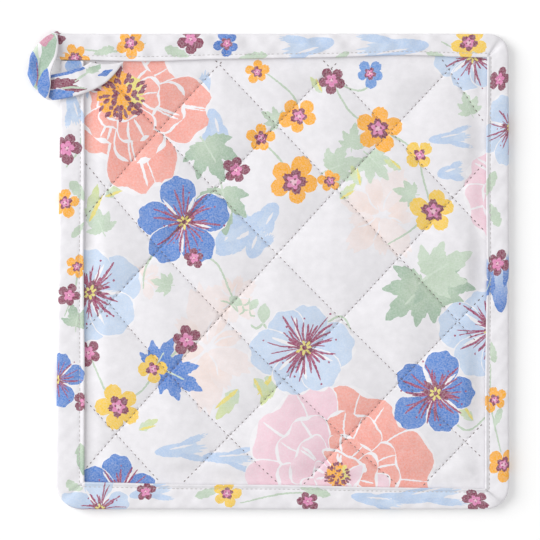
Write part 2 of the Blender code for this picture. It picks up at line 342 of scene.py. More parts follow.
def cell_and_weights(counts):
    """The diamond that a count lies in, its step there, and the four weights of a smooth curve."""
    place = np.clip(counts - FIRST_COUNT, 0, DIAMONDS - 1e-6)
    cell = np.floor(place).astype(int)
    step = np.minimum((place - cell) * RELIEF_STEPS, RELIEF_STEPS - 1e-6)
    index = np.floor(step).astype(int)
    t = step - index
    weights = (-t + 2 * t**2 - t**3, 2 - 5 * t**2 + 3 * t**3, t + 4 * t**2 - 3 * t**3, -(t**2) + t**3)
    return cell, index, [weight / 2 for weight in weights]


def relief_height(falling, rising):
    row, i, row_weights = cell_and_weights(falling)
    column, j, column_weights = cell_and_weights(rising)
    total = np.zeros(len(falling))
    for a, row_weight in enumerate(row_weights):
        for b, column_weight in enumerate(column_weights):
            total += row_weight * column_weight * RELIEF[row, column, i + a, j + b]
    return total


def front_height(x, y):
    falling, rising = line_counts(x, y)
    hump = puff(falling) * puff(rising)
    crease = CREASE_DEPTH * (1 - smooth(distance_to_lines(x, y) / CREASE_WIDTH))
    quilted = STITCH_HEIGHT + relief_height(falling, rising) - crease
    quilted += ripples(x, y, CLOTH_WAVES) * np.minimum(1, 2 * hump)
    free = smooth((inside_binding(x, y) - PRESSED_UP_TO) / PRESSED_WIDTH)
    return EDGE_TOP + (quilted - EDGE_TOP) * free


def back_height(x, y):
    groove = BACK_GROOVE * np.maximum(0, 1 - distance_to_lines(x, y) / BACK_GROOVE_WIDTH)
    near, far = BACK_STEP
    step = np.clip(1 - (inside_binding(x, y) - near) / (far - near), 0, 1)
    return np.maximum(groove, EDGE_BOTTOM * step)


# Outlines of the print, each worked out from a few sizes.
def resampled(points, step):
    """A closed outline's points at even steps."""
    closed = np.vstack([points, points[:1]])
    lengths = running_total(np.hypot(*np.diff(closed, axis=0).T))
    places = np.linspace(0, lengths[-1], max(7, round(lengths[-1] / step)), endpoint=False)
    return np.column_stack([np.interp(places, lengths, closed[:, axis]) for axis in (0, 1)])


def turned(points, angle):
    cos, sin = math.cos(angle), math.sin(angle)
    return np.asarray(points) @ np.array(((cos, sin), (-sin, cos)))


def petal(length, width, widest=1.6, bluntness=0.7, frill=0.04, lobes=5, root=0.0):
    """A petal that runs from its root along +X, with a wavy tip."""
    share = (1 - np.cos(np.linspace(0, math.pi, 26))) / 2
    half = width / 2 * np.maximum(np.sin(math.pi * share**widest), 0) ** bluntness
    sides = np.concatenate([half, -half[-2:0:-1]])
    along = np.concatenate([share, share[-2:0:-1]])
    wave = 1 + frill * np.sin(lobes * math.pi * sides / width + chance.uniform(0, 6)) * along**2
    return np.column_stack([root + (length - root) * along * wave, sides * (0.4 + 0.6 * wave)])


def blob(radius, lobes, depth, squash=1.0):
    """A round patch with a lobed edge."""
    angle = np.linspace(0, 2 * math.pi, 48, endpoint=False)
    reach = radius * (1 + depth * np.cos(lobes * angle + chance.uniform(0, 6)))
    return np.column_stack([reach * np.cos(angle), squash * reach * np.sin(angle)])


def sideways_of(path):
    """Unit steps to the left of a path, at each of its points."""
    along = np.gradient(path, axis=0)
    along /= np.maximum(np.hypot(*along.T), 1e-9)[:, None]
    return np.column_stack([-along[:, 1], along[:, 0]])


def spokes(count, turn=0.0, jitter=0.0, offset=0.0):
    """Each number up to the count and its angle, at even turns moved by up to the jitter."""
    for number in range(count):
        moved = chance.uniform(-jitter, jitter) if jitter else 0.0
        yield number, turn + 2 * math.pi * (number + offset + moved) / count


def stroke(points, width, ends=0.35):
    """A brush stroke along a smooth curve through its points, thinner at both ends."""
    points = np.array(points, dtype=float)
    places = np.linspace(0, len(points) - 1, 8 * len(points))
    path = curve_through(points, places)
    side = sideways_of(path)
    share = places / places[-1]
    half = width / 2 * (ends + (1 - ends) * np.sin(math.pi * share) ** 0.6)[:, None]
    return np.vstack([path + side * half, (path - side * half)[::-1]])


def curve_through(points, places):
    """A smooth curve through points, read at places counted in points."""
    last = len(points) - 1
    index = np.clip(np.floor(places).astype(int), 0, last - 1)
    share = (places - index)[:, None]
    before = points[np.maximum(index - 1, 0)]
    start, end = points[index], points[index + 1]
    after = points[np.minimum(index + 2, last)]
    slope_in, slope_out = (end - before) / 2, (after - start) / 2
    return (
        start * (1 - 3 * share**2 + 2 * share**3)
        + end * (3 * share**2 - 2 * share**3)
        + slope_in * (share - 2 * share**2 + share**3)
        + slope_out * (share**3 - share**2)
    )


def toothed_leaf(length, width, teeth, depth=0.35):
    """A leaf along +X whose edge is cut into forward teeth."""
    share = np.linspace(0, 1, 14 * teeth)
    envelope = width / 2 * np.sin(math.pi * share**0.75) ** 0.8
    tooth = 1 - depth * (1 - (share * teeth) % 1)
    half = envelope * tooth
    return np.vstack([
        np.column_stack([length * share, half]),
        np.column_stack([length * share, -half])[-2:0:-1],
    ])


def signed_area(outline):
    x, y = outline.T
    return (np.dot(x, np.roll(y, -1)) - np.dot(y, np.roll(x, -1))) / 2


# Outlines wider than this, in mm, are given fewer points.
WIDE_SHAPE = 2.5
WIDE_SHAPE_STEPS = 1.4

# The back leaves out shapes below this area, in square mm.
SMALL_SHAPE = 5.0


class Print:
    """Shapes printed on a cloth, in the order they are laid down."""

    def __init__(self, step=0.75, fray=0.09):
        self.step = step
        self.fray = fray
        self.outlines = []
        self.inks = []

    def lay(self, points, colour, place=(0.0, 0.0, 0.0), rim=None, reach=10.0):
        """Prints one outline at (x, y, turn). Its ink eases to the rim's over the reach."""
        x, y, turn = place
        outline = turned(points, turn) + (x, y)
        mean_width = 2 * abs(signed_area(outline)) / np.hypot(*np.diff(outline, axis=0).T).sum()
        outline = resampled(outline, self.step * (WIDE_SHAPE_STEPS if mean_width > WIDE_SHAPE else 1.0))
        outline += chance.normal(0, min(self.fray, 0.14 * mean_width), outline.shape)
        self.outlines.append(outline)
        self.inks.append((*ink(colour), *ink(rim or colour), x, y, reach))

    def simplified(self, inside, step):
        """The larger shapes that lie wholly where inside is above 0, with fewer points."""
        simple = Print(step, 0.0)
        for outline, inks in zip(self.outlines, self.inks):
            if abs(signed_area(outline)) > SMALL_SHAPE and inside(*outline.T).min() > 0:
                simple.outlines.append(resampled(outline, step))
                simple.inks.append(inks)
        return simple

    def flower(self, x, y, radius, turn, petals, main):
        """A small flower of rounded petals round a dark ring and a pink heart."""
        for _, angle in spokes(petals, turn, 0.12):
            length = radius * chance.uniform(0.86, 1.08)
            width = 3.75 * length / petals
            shape = petal(length, width, 1.5, 0.5, 0.035, 7, 0.05 * radius)
            self.lay(shape, main, (x, y, angle))
        ring = "burgundy" if main != "burgundy" else "bright pink"
        for _, angle in spokes(petals, turn, offset=0.15):
            reach = radius * chance.uniform(0.42, 0.52)
            self.lay(petal(reach, 0.75 * reach, 1.3, 0.5, 0.1), ring, (x, y, angle))
        if radius > 4:
            self.lay(blob(0.25 * radius, petals, 0.25), "bright pink", (x, y, turn))
            self.lay(blob(0.12 * radius, 3, 0.3), "pink", (x, y, turn))
            for number in range(petals):
                place = turned([(0.12 * radius, 0)], turn + 2.1 * number)[0]
                self.lay(blob(0.045 * radius, 3, 0.1), "burgundy", (x + place[0], y + place[1], 0))

    def anemone(self, x, y, radius, turn, petals, inks, rays, span=1.32):
        """A large flower of broad petals with dark rays and a yellow heart."""
        for number, angle in spokes(petals, turn, 0.1):
            length = radius * chance.uniform(0.84, 1.08)
            width = span * length * math.sin(math.pi / petals)
            edge = petal(length + 0.5, width + 0.9, 1.55, 0.5, 0.03, 5, -0.4)
            self.lay(edge, "white", (x, y, angle))
            shape = petal(length, width, 1.55, 0.5, 0.03, 5)
            self.lay(shape, inks[number % 2], (x, y, angle), inks[2], radius)
        for _, angle in spokes(petals, turn, 0.06, 0.5):
            self.lay(petal(0.66 * radius, 0.075 * radius, 1.3, 0.8), "white", (x, y, angle))
        heart = turned([(0.06 * radius, 0)], turn)[0] + (x, y)
        for number, angle in spokes(rays, turn, 0.4):
            start = radius * chance.uniform(0.05, 0.16)
            end = radius * chance.uniform(0.34, 0.8)
            bend = chance.uniform(-0.08, 0.08) * end
            points = [(start, 0), ((start + end) / 2, bend), (end, bend * 0.4)]
            self.lay(stroke(points, radius * chance.uniform(0.025, 0.055), 0.25), "ray", (*heart, angle))
            if number % 4 == 0:
                tip = turned([(end + 0.07 * radius, 0)], angle)[0] + heart
                self.lay(blob(0.022 * radius, 3, 0.1), "ray", (*tip, angle))
        for number in range(9):
            angle = turn + 0.72 * number
            reach = radius * chance.uniform(0.16, 0.34)
            self.lay(petal(reach, 0.34 * reach, 1.0, 0.7, 0.1), "burgundy", (*heart, angle))
        for number in range(7):
            angle = turn + 0.5 + 0.93 * number
            reach = radius * chance.uniform(0.08, 0.2)
            points = [(0.2 * reach, 0), (reach, 0.15 * reach)]
            self.lay(stroke(points, 0.055 * radius), "lemon", (*heart, angle))
        self.lay(blob(0.05 * radius, 4, 0.3), "burgundy", (*heart, 0.0))

    def peony(self, x, y, across, up, heart, inks, seeds=0.0):
        """A full flower: rings of broad petals that run from its heart, parted by pale veins."""
        heart = np.array(heart)
        rings = ((5, 1.0, 0.92, 0), (5, 0.74, 0.85, 1), (4, 0.48, 0.8, 0), (3, 0.26, 0.9, 1))
        for petals, reach, width_share, tint in rings:
            shift = chance.uniform(0, 1)
            for _, angle in spokes(petals, jitter=0.16, offset=shift):
                tip = np.array((math.cos(angle) * across, math.sin(angle) * up)) * chance.uniform(0.9, 1.04)
                tip = heart + (tip - heart) * reach
                root = heart + (tip - heart) * 0.12
                length = float(np.hypot(*(tip - root)))
                width = width_share * chance.uniform(0.8, 1.15)
                width *= 2 * math.pi * reach * math.sqrt(across * up) / petals
                heading = math.atan2(*(tip - root)[::-1]) + chance.uniform(-0.16, 0.16)
                place = (x + root[0], y + root[1], heading)
                warm = math.cos(angle - 0.5) > 0.1 + 0.5 * tint
                colour, rim = (inks[0], inks[2]) if warm else (inks[1], inks[3])
                gap = chance.uniform(0.55, 1.1)
                under = petal(length + gap, width + 2 * gap, 2.0, 0.5, 0.03, 4, -gap)
                self.lay(under, "white", place)
                self.lay(petal(length, width, 2.0, 0.5, 0.05, 5), colour, place, rim, length * 1.5)
                for side in chance.uniform(-0.34, 0.34, 2):
                    bend = side * width
                    points = [(0.5 * length, bend * 0.4), (0.72 * length, bend * 0.8), (0.97 * length, bend)]
                    self.lay(stroke(points, chance.uniform(0.6, 1.3), 0.1), "white", place)
        if seeds:
            self.stamens(x + heart[0], y + heart[1], seeds)

    def faint_flower(self, x, y, across, up, turn):
        """A flower printed so pale that only its broad petals show."""
        for number, angle in spokes(9, turn, 0.2):
            reach = 0.42 + 0.25 * (number % 2)
            place = (x + 0.4 * across * math.cos(angle), y + 0.4 * up * math.sin(angle), angle)
            size = math.hypot(across * math.cos(angle), up * math.sin(angle)) * reach
            colour = ("peach", "pale peach", "peach")[number % 3]
            shape = petal(size, 0.85 * size, 1.3, 0.5, 0.09, 7, -0.5 * size)
            self.lay(shape, colour, place, "pale peach", size)
        for _, angle in spokes(5, turn + 0.4, 0.2):
            points = [(0.15 * across, 0), (0.4 * across, 0.06 * across), (0.7 * across, 0)]
            self.lay(stroke(points, 0.8, 0.1), "ground", (x, y, angle))

    def stamens(self, x, y, size):
        """A dense heart: lemon at its rim, orange inside, with dark anthers."""
        for number in range(22):
            angle = 2 * math.pi * number / 22 + chance.uniform(-0.1, 0.1)
            reach = size * (0.78 if number % 2 else 0.45)
            place = (x + reach * math.cos(angle), y + reach * math.sin(angle), angle)
            self.lay(blob(size * 0.24, 4, 0.2), "lemon" if math.cos(angle - 0.3) > 0.5 else "orange", place)
        self.lay(blob(0.5 * size, 5, 0.12), "orange", (x, y, 0.0))
        for _ in range(60):
            angle = chance.uniform(0, 2 * math.pi)
            reach = size * math.sqrt(chance.uniform(0.0, 0.85))
            heading = angle + chance.uniform(-0.5, 0.5)
            place = (x + reach * math.cos(angle), y + reach * math.sin(angle), heading)
            shape = petal(size * chance.uniform(0.22, 0.4), size * chance.uniform(0.13, 0.22), 1.2, 0.6, 0.1)
            self.lay(shape, "burgundy", place)

    def leaf(self, x, y, length, width, turn, main, rim, teeth):
        self.lay(toothed_leaf(length, width, teeth), main, (x, y, turn), rim, length)

    def spray(self, x, y, size, turn, main, rim, leaves=5, spread=2.6):
        """A divided leaf: toothed lobes that fan out from one stalk."""
        for number in range(leaves):
            place = number / (leaves - 1) - 0.5
            length = size * (1 - 0.75 * abs(place)) * chance.uniform(0.92, 1.05)
            self.leaf(x, y, length, 0.52 * length, turn + spread * place, main, rim, 4)
        points = [(-0.25 * size, -0.05 * size), (0, 0), (0.5 * size, 0.03 * size)]
        self.lay(stroke(points, 0.045 * size), "pale sage", (x, y, turn))

    def stem(self, points, width=0.9):
        x, y = points[0]
        local = [(px - x, py - y) for px, py in points]
        self.lay(stroke(local, width), "sage", (x, y, 0.0))

    def bud(self, x, y, size, turn):
        self.lay(petal(size, 0.62 * size, 1.1, 0.75, 0.03), "sage", (x, y, turn), "pale sage", size)
        for side in (-1, 1):
            points = [(0, 0), (-0.25 * size, side * 0.3 * size), (-0.1 * size, side * 0.62 * size)]
            self.lay(stroke(points, 0.14 * size), "sage", (x, y, turn))

    def brush(self, x, y, length, width, turn, main, rim):
        """A pale wash with a ragged end and a bare streak."""
        self.lay(petal(length, width, 1.0, 0.45, 0.1, 9), main, (x, y, turn), rim, length)
        for side in (-0.3, 0.28):
            tip_x = x + 0.45 * length * math.cos(turn) - side * width * math.sin(turn)
            tip_y = y + 0.45 * length * math.sin(turn) + side * width * math.cos(turn)
            lobe = petal(0.62 * length, 0.5 * width, 1.3, 0.5, 0.12, 9)
            self.lay(lobe, main, (tip_x, tip_y, turn + side), rim, length)
        streak = petal(0.5 * length, 0.16 * width, 1.0, 0.8)
        x += 0.3 * length * math.cos(turn) - 0.12 * width * math.sin(turn)
        y += 0.3 * length * math.sin(turn) + 0.12 * width * math.cos(turn)
        self.lay(streak, "ground", (x, y, turn + 0.1))


def panel_print():
    """The panel's flowers, laid from the palest washes to the smallest flowers."""
    cloth = Print()
    faint = ((43, 25, 17, 21, 0.5), (-34, -34, 19, 26, 1.1), (-62, -4, 9, 8, 0.2), (-22, -12, 10, 13, 2.0))
    for x, y, across, up, turn in faint:
        cloth.faint_flower(x, y, across, up, turn)
    washes = (
        (-38, 64, 22, 12, 1.75), (-32, 72, 14, 8, -1.4), (-30, 8, 22, 12, 0.75),
        (-8, 22, 19, 11, -2.75), (-3, 30, 13, 8, -2.2), (-15, 6, 13, 8, 1.1),
        (64, 58, 18, 5, 0.1), (-57, -80, 22, 6, 0.1), (-36, -82, 22, 5, -0.05),
        (29, -90, 20, 6, 0.3), (68, 43, 11, 6, 0.15), (-88, -8, 12, 7, 1.9), (-86, 76, 12, 6, 1.3),
    )
    for x, y, length, width, turn in washes:
        cloth.brush(x, y, length, width, turn, "pale blue", "paler blue")
    stems = (
        ((-40, 8), (-30, 4), (-24, -8), (-20, -18)),
        ((-20, -18), (-24, -14), (-28, -13)),
        ((5, 40), (-2, 50), (-10, 58)),
        ((7, 69), (4, 78), (-8, 88)),
        ((42, 63), (30, 70), (22, 83)),
        ((42, 63), (52, 58), (60, 52)),
        ((66, 27), (62, 40), (60, 51)),
        ((66, 27), (56, 18), (46, 12)),
        ((-73, -60), (-62, -52), (-57, -44)),
        ((-57, -44), (-48, -36), (-43, -31)),
        ((66, -55), (80, -70), (90, -64)),
        ((7, -33), (24, -20), (30, -26)),
        ((-86, -36), (-80, -50), (-74, -60)),
        ((21, 85), (34, 80), (44, 88)),
        ((-46, 22), (-60, 4), (-62, -8)),
    )
    for points in stems:
        cloth.stem(points)
    sprays = (
        (-35, 57, 21, -1.1, "sage", "deep sage"),
        (-27, 36, 20, -1.5, "sage", "deep sage"),
        (20, 45, 17, 0.3, "sage", "pale sage"),
        (38, 51, 15, -0.9, "sage", "pale sage"),
        (62, -6, 25, -2.4, "sage", "deep sage"),
        (66, -3, 24, -0.9, "sage", "deep sage"),
        (64, -2, 22, 0.5, "sage", "pale sage"),
        (-80, 18, 12, 1.9, "sage", "pale sage"),
        (-50, -6, 9, 2.9, "sage", "pale sage"),
        (-57, -43, 17, 1.0, "blue", "mid blue"),
        (-52, -44, 18, -0.5, "blue", "mid blue"),
        (30, 55, 11, 1.4, "pale sage", "sage"),
        (-2, 66, 9, 2.6, "pale sage", "sage"),
        (58, 34, 10, 2.9, "pale sage", "sage"),
        (-52, 18, 9, -2.4, "sage", "pale sage"),
        (83, 70, 10, 1.9, "sage", "pale sage"),
    )
    for x, y, size, turn, main, rim in sprays:
        cloth.spray(x, y, size, turn, main, rim)
    leaves = (
        (-20, -52, 17, 8, -2.2), (-3, -44, 17, 8, -2.0), (-13, -47, 12, 6, -0.9), (-86, 22, 17, 7, 1.35),
        (-79, 33, 11, 5, 0.6), (25, 32, 10, 5, 0.8), (34, 38, 10, 5, 2.0), (17, 79, 9, 4, 2.2),
        (52, 45, 9, 4, 2.6), (-64, -70, 10, 5, 0.5), (84, -66, 12, 5, 2.4), (79, -34, 11, 5, 1.2),
    )
    for x, y, length, width, turn in leaves:
        cloth.leaf(x, y, length, width, turn, "pale sage", "lime", 3)
        cloth.leaf(x, y, 0.8 * length, 0.3 * width, turn - 0.25, "lemon", None, 3)
    cloth.bud(-9, -23, 9, 1.5)
    cloth.bud(-18, -15, 7, 2.6)
    cloth.bud(-15, -17, 6, 0.9)
    cloth.peony(-62, 66, 27, 29, (-10, 12), ("coral", "coral", "pale coral", "pale coral"), 10.5)
    cloth.peony(22, -86, 42, 33, (2, -4), ("coral", "pink", "pale coral", "pale pink"), 5.5)
    cloth.peony(104, 34, 23, 30, (4, 0), ("pink", "pink", "pale pink", "pale pink"))
    pale = ("pale blue", "paler blue", "paler blue")
    strong = ("blue", "mid blue", "mid blue")
    cloth.anemone(-87, -10, 23, 0.5, 6, pale, 36, 1.75)
    cloth.anemone(8, -34, 22, 0.2, 6, pale, 36, 1.75)
    cloth.anemone(92, -27, 22, 0.9, 6, pale, 32, 1.75)
    cloth.anemone(83, 95, 17, 0.2, 6, pale, 26, 1.75)
    cloth.anemone(-45, 21.5, 20.5, 0.4, 5, strong, 26)
    cloth.anemone(66, -54, 21, 0.1, 5, strong, 26)
    cloth.anemone(-73, -98, 18, 0.3, 5, strong, 22)
    flowers = (
        (-11.7, 88.2, 5.4, 0.3, 5, "orange"),
        (6.9, 68.7, 8.6, 0.9, 5, "orange"),
        (-9.9, 59.0, 6.4, 0.2, 5, "orange"),
        (4.5, 39.6, 11.4, 1.1, 5, "orange"),
        (20.6, 40.0, 5.4, 0.5, 5, "orange"),
        (41.8, 63.2, 10.8, 0.2, 5, "orange"),
        (60.3, 51.5, 6.6, 0.7, 4, "yellow"),
        (66.3, 26.7, 10.8, 0.2, 5, "yellow"),
        (-73.1, -59.9, 10.6, 0.6, 5, "yellow"),
        (-57.7, -43.1, 6.6, 0.1, 4, "yellow"),
        (21.2, 84.6, 6.4, 0.8, 5, "burgundy"),
        (-21.0, 44.9, 6.4, 0.1, 5, "burgundy"),
        (-42.7, -30.3, 7.0, 0.4, 5, "burgundy"),
        (-39.6, 6.0, 4.8, 0.4, 5, "burgundy"),
        (-86.4, -36.0, 6.2, 0.9, 5, "burgundy"),
        (38.2, 87.5, 6.2, 0.9, 5, "light blue"),
    )
    for x, y, radius, turn, petals, main in flowers:
        cloth.flower(x, y, radius, turn, petals, main)
    return cloth


# A flat cloth cut along its print, then laid on its shape. A shape whose triangles cover far more
# than its own area, by this share and these square mm, has spilled over and stays uncoloured.
SPILL_SHARE = 1.5
SPILL_AREA = 1.0


def cut_cloth(outline, cloth, points=(), lines=()):
    """Triangles over the outline, cut along every printed shape and fold line. Gives the points,
    the triangles and each corner's colour."""
    verts = [Vector(point) for point in outline]
    faces = [list(range(len(outline)))]
    for shape in cloth.outlines:
        if signed_area(shape) < 0:
            shape = shape[::-1]
        faces.append(list(range(len(verts), len(verts) + len(shape))))
        verts += [Vector(point) for point in shape]
    edges = []
    for line in lines:
        edges += [(len(verts) + i, len(verts) + i + 1) for i in range(len(line) - 1)]
        verts += [Vector(point) for point in line]
    verts += [Vector(point) for point in points]
    found = geometry.delaunay_2d_cdt(verts, edges, faces, 0, 1e-4, True)
    flat = np.array([tuple(point) for point in found[0]])
    faces_found = np.array(found[2])
    counts = np.array([len(owners) for owners in found[5]])
    owners = np.concatenate([np.array(owners, dtype=int) for owners in found[5]])
    a, b, c = (flat[faces_found[:, corner]] for corner in range(3))
    (x_b, y_b), (x_c, y_c) = (b - a).T, (c - a).T
    areas = np.abs(x_b * y_c - x_c * y_b) / 2
    covered = np.bincount(owners, np.repeat(areas, counts), len(faces))
    sizes = np.array([np.inf] + [abs(signed_area(shape)) for shape in cloth.outlines])
    owners[covered[owners] > SPILL_SHARE * sizes[owners] + SPILL_AREA] = 0
    inside = np.array([0 in found_owners for found_owners in found[5]])
    starts = np.cumsum(counts) - counts
    top = np.maximum.reduceat(owners, np.minimum(starts, len(owners) - 1))
    triangles, owners = faces_found[inside], top[inside]
    plain = (*ink("ground"), *ink("ground"), 0.0, 0.0, 1.0)
    inks = np.array([plain] + cloth.inks)[owners][:, None, :]
    corners = flat[triangles]
    away = np.hypot(corners[..., 0] - inks[..., 6], corners[..., 1] - inks[..., 7])
    share = smooth(away / inks[..., 8])[..., None]
    colours = inks[..., 0:3] + (inks[..., 3:6] - inks[..., 0:3]) * share
    used, triangles = np.unique(triangles, return_inverse=True)
    return flat[used], triangles.reshape(-1, 3), colours


def add_mesh(name, points, triangles, normals=None, colours=None, material=None):
    """An object from points in mm, with its own normals and a colour for each corner."""
    mesh = bpy.data.meshes.new(name)
    mesh.from_pydata((np.asarray(points) * MM).tolist(), [], np.asarray(triangles).tolist())
    mesh.shade_smooth()
    if colours is not None:
        layer = mesh.color_attributes.new("print", "FLOAT_COLOR", "CORNER")
        flat = np.concatenate([colours.reshape(-1, 3), np.ones((colours.size // 3, 1))], axis=1)
        layer.data.foreach_set("color", flat.ravel())
    if normals is not None:
        mesh.normals_split_custom_set_from_vertices(normals.tolist())
    if material:
        mesh.materials.append(material)
    return add_object(name, mesh)


def surface_normals(place, u, v, step=0.12):
    """Unit normals of a surface given by a function of two sizes, by differences."""
    along = place(u + step, v) - place(u - step, v)
    across = place(u, v + step) - place(u, v - step)
    normals = np.cross(along, across)
    return normals / np.maximum(np.linalg.norm(normals, axis=1), 1e-12)[:, None]


def field_of(first, second):
    """A point for every pair of places, one from each row."""
    first, second = np.meshgrid(first, second)
    return np.column_stack([first.ravel(), second.ravel()])


def edge_points(corners, spacing):
    """Points at even steps round a polygon."""
    corners = [Vector(corner) for corner in corners]
    points = []
    for start, end in zip(corners, corners[1:] + corners[:1]):
        steps = max(2, round((end - start).length / spacing))
        points += [tuple(start.lerp(end, i / steps)) for i in range(steps)]
    return points


def loose_points(step, clear):
    """Points over the panel, each moved a little, that keep clear of the sewn lines."""
    field = field_of(
        np.arange(-FIELD_HALF_WIDTH, FIELD_HALF_WIDTH, step),
        np.arange(-FIELD_HALF_HEIGHT, FIELD_HALF_HEIGHT, step),
    )
    field = field + chance.uniform(-FIELD_SHIFT, FIELD_SHIFT, field.shape) * step
    return field[distance_to_lines(*field.T) > clear]


def panel_outline():
    """The panel's rounded outline, drawn in by its inset, counter-clockwise from the top right."""
    corners = (
        (RIGHT_X_AT_TOP, TOP_Y, CORNER_RADIUS["top_right"], 0),
        (LEFT_X_AT_TOP, TOP_Y, HIDDEN_CORNER_RADIUS, 90),
        (LEFT_X_AT_BOTTOM, BOTTOM_Y, CORNER_RADIUS["bottom_left"], 180),
        (RIGHT_X_AT_BOTTOM, BOTTOM_Y, CORNER_RADIUS["bottom_right"], 270),
    )
    points = []
    for x, y, radius, first in corners:
        centre_x = x - math.copysign(radius, x)
        centre_y = y - math.copysign(radius, y)
        for angle in np.radians(np.linspace(first, first + 90, 9)):
            reach = radius - PANEL_INSET
            points.append((centre_x + reach * math.cos(angle), centre_y + reach * math.sin(angle)))
    return resampled(np.array(points), OUTLINE_STEP)


def sewn_lines(step):
    """Each sewn line as points along it, from one edge of the panel to the other."""
    runs = np.arange(-LINE_REACH, LINE_REACH, step)
    lines = []
    for table, falling in ((FALLING_LINES, True), (RISING_LINES, False)):
        for places in line_places(table, runs):
            first, second = (places, runs) if falling else (runs, places)
            x, y = diagonals(first, second)
            inside = inside_binding(x, y) > -LINE_OVERRUN
            if inside.sum() > FEWEST_ON_LINE:
                lines.append(np.column_stack([x, y])[inside])
    return lines


# How closely the panel's cloths are cut, in mm: the steps along the sewn lines, the places beside
# them, the field's steps, and how far the field keeps clear of the lines.
FRONT_LINE_STEP = 1.0
FRONT_BESIDE = (-1.15, -0.45, 0.45, 1.15)
FRONT_FIELD = (1.9, 1.9)
BACK_LINE_STEP = 1.6
BACK_BESIDE = (-2.4, 2.4)
BACK_BESIDE_STEP = 2.4
BACK_FIELD = (3.4, 2.2)
BACK_SHAPE_STEP = 1.8
BACK_SHAPE_MARGIN = 6
BACK_NORMAL_STEP = 0.3


def front_place(x, y):
    return np.column_stack([x, y, front_height(x, y)])


def back_place(x, y):
    return np.column_stack([x, y, back_height(x, y)])


def panel():
    lines = sewn_lines(FRONT_LINE_STEP)
    field = loose_points(*FRONT_FIELD)
    beside = [(line + sideways_of(line) * offset)[::2] for line in lines for offset in FRONT_BESIDE]
    cloth = panel_print()
    points = [*field, *np.vstack(beside)]
    flat, triangles, colours = cut_cloth(panel_outline(), cloth, points, lines)
    rim = rim_loop(triangles)

    # The back is a second cut of the same cloth, joined to the front all round the rim.
    field = loose_points(*BACK_FIELD)
    beside = [line + (offset, 0) for line in sewn_lines(BACK_BESIDE_STEP) for offset in BACK_BESIDE]
    simple = cloth.simplified(lambda x, y: inside_binding(x, y) + BACK_SHAPE_MARGIN, BACK_SHAPE_STEP)
    points = [*field, *np.vstack(beside)]
    back_cut = cut_cloth(flat[rim], simple, points, sewn_lines(BACK_LINE_STEP))
    back_flat, back_triangles, back_colours = back_cut

    count = len(flat)
    points = np.vstack([front_place(*flat.T), back_place(*back_flat.T)])
    back_normals = -surface_normals(back_place, *back_flat.T, BACK_NORMAL_STEP)
    normals = np.vstack([surface_normals(front_place, *flat.T), back_normals])
    under = count + np.array([np.argmin(np.hypot(*(back_flat - flat[a]).T)) for a in rim])
    following = np.roll(rim, -1)
    wall = np.vstack([
        np.column_stack([rim, under, following]),
        np.column_stack([following, under, np.roll(under, -1)]),
    ])
    faces = np.vstack([triangles, back_triangles[:, ::-1] + count, wall])
    plain = np.tile(ink("ground"), (len(wall), 3, 1))
    inks = np.vstack([colours, back_colours[:, ::-1], plain])
    made = add_mesh("panel_cloth", points, faces, normals, inks, printed_cotton("panel_cotton"))
    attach(made, "root")
    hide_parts("quilted_panel")


def rim_loop(triangles):
    """The points round the outer edge, in the order of the triangles that they bound."""
    edges = set()
    for a, b, c in triangles.tolist():
        edges.update(((a, b), (b, c), (c, a)))
    following = {a: b for a, b in edges if (b, a) not in edges}
    loop = [min(following)]
    while following[loop[-1]] != loop[0]:
        loop.append(following[loop[-1]])
    return np.array(loop)


# The weave's pitch in metres, and the wave texture's own factor on its scale.
WEAVE_PITCH = 0.00042
WAVE_FACTOR = 20


def new_material(name, roughness):
    """A material with its node tree and its shader."""
    material = bpy.data.materials.new(name)
    material.use_nodes = True
    shader = material.node_tree.nodes["Principled BSDF"]
    shader.inputs["Roughness"].default_value = roughness
    return material, material.node_tree, shader


def add_node(tree, kind, settings=(), values=(), links=()):
    """A shader node with its own settings, values on its inputs, and outputs linked to them."""
    node = tree.nodes.new("ShaderNode" + kind)
    for name, value in settings:
        setattr(node, name, value)
    for name, value in values:
        node.inputs[name].default_value = value
    for name, output in links:
        tree.links.new(output, node.inputs[name])
    return node


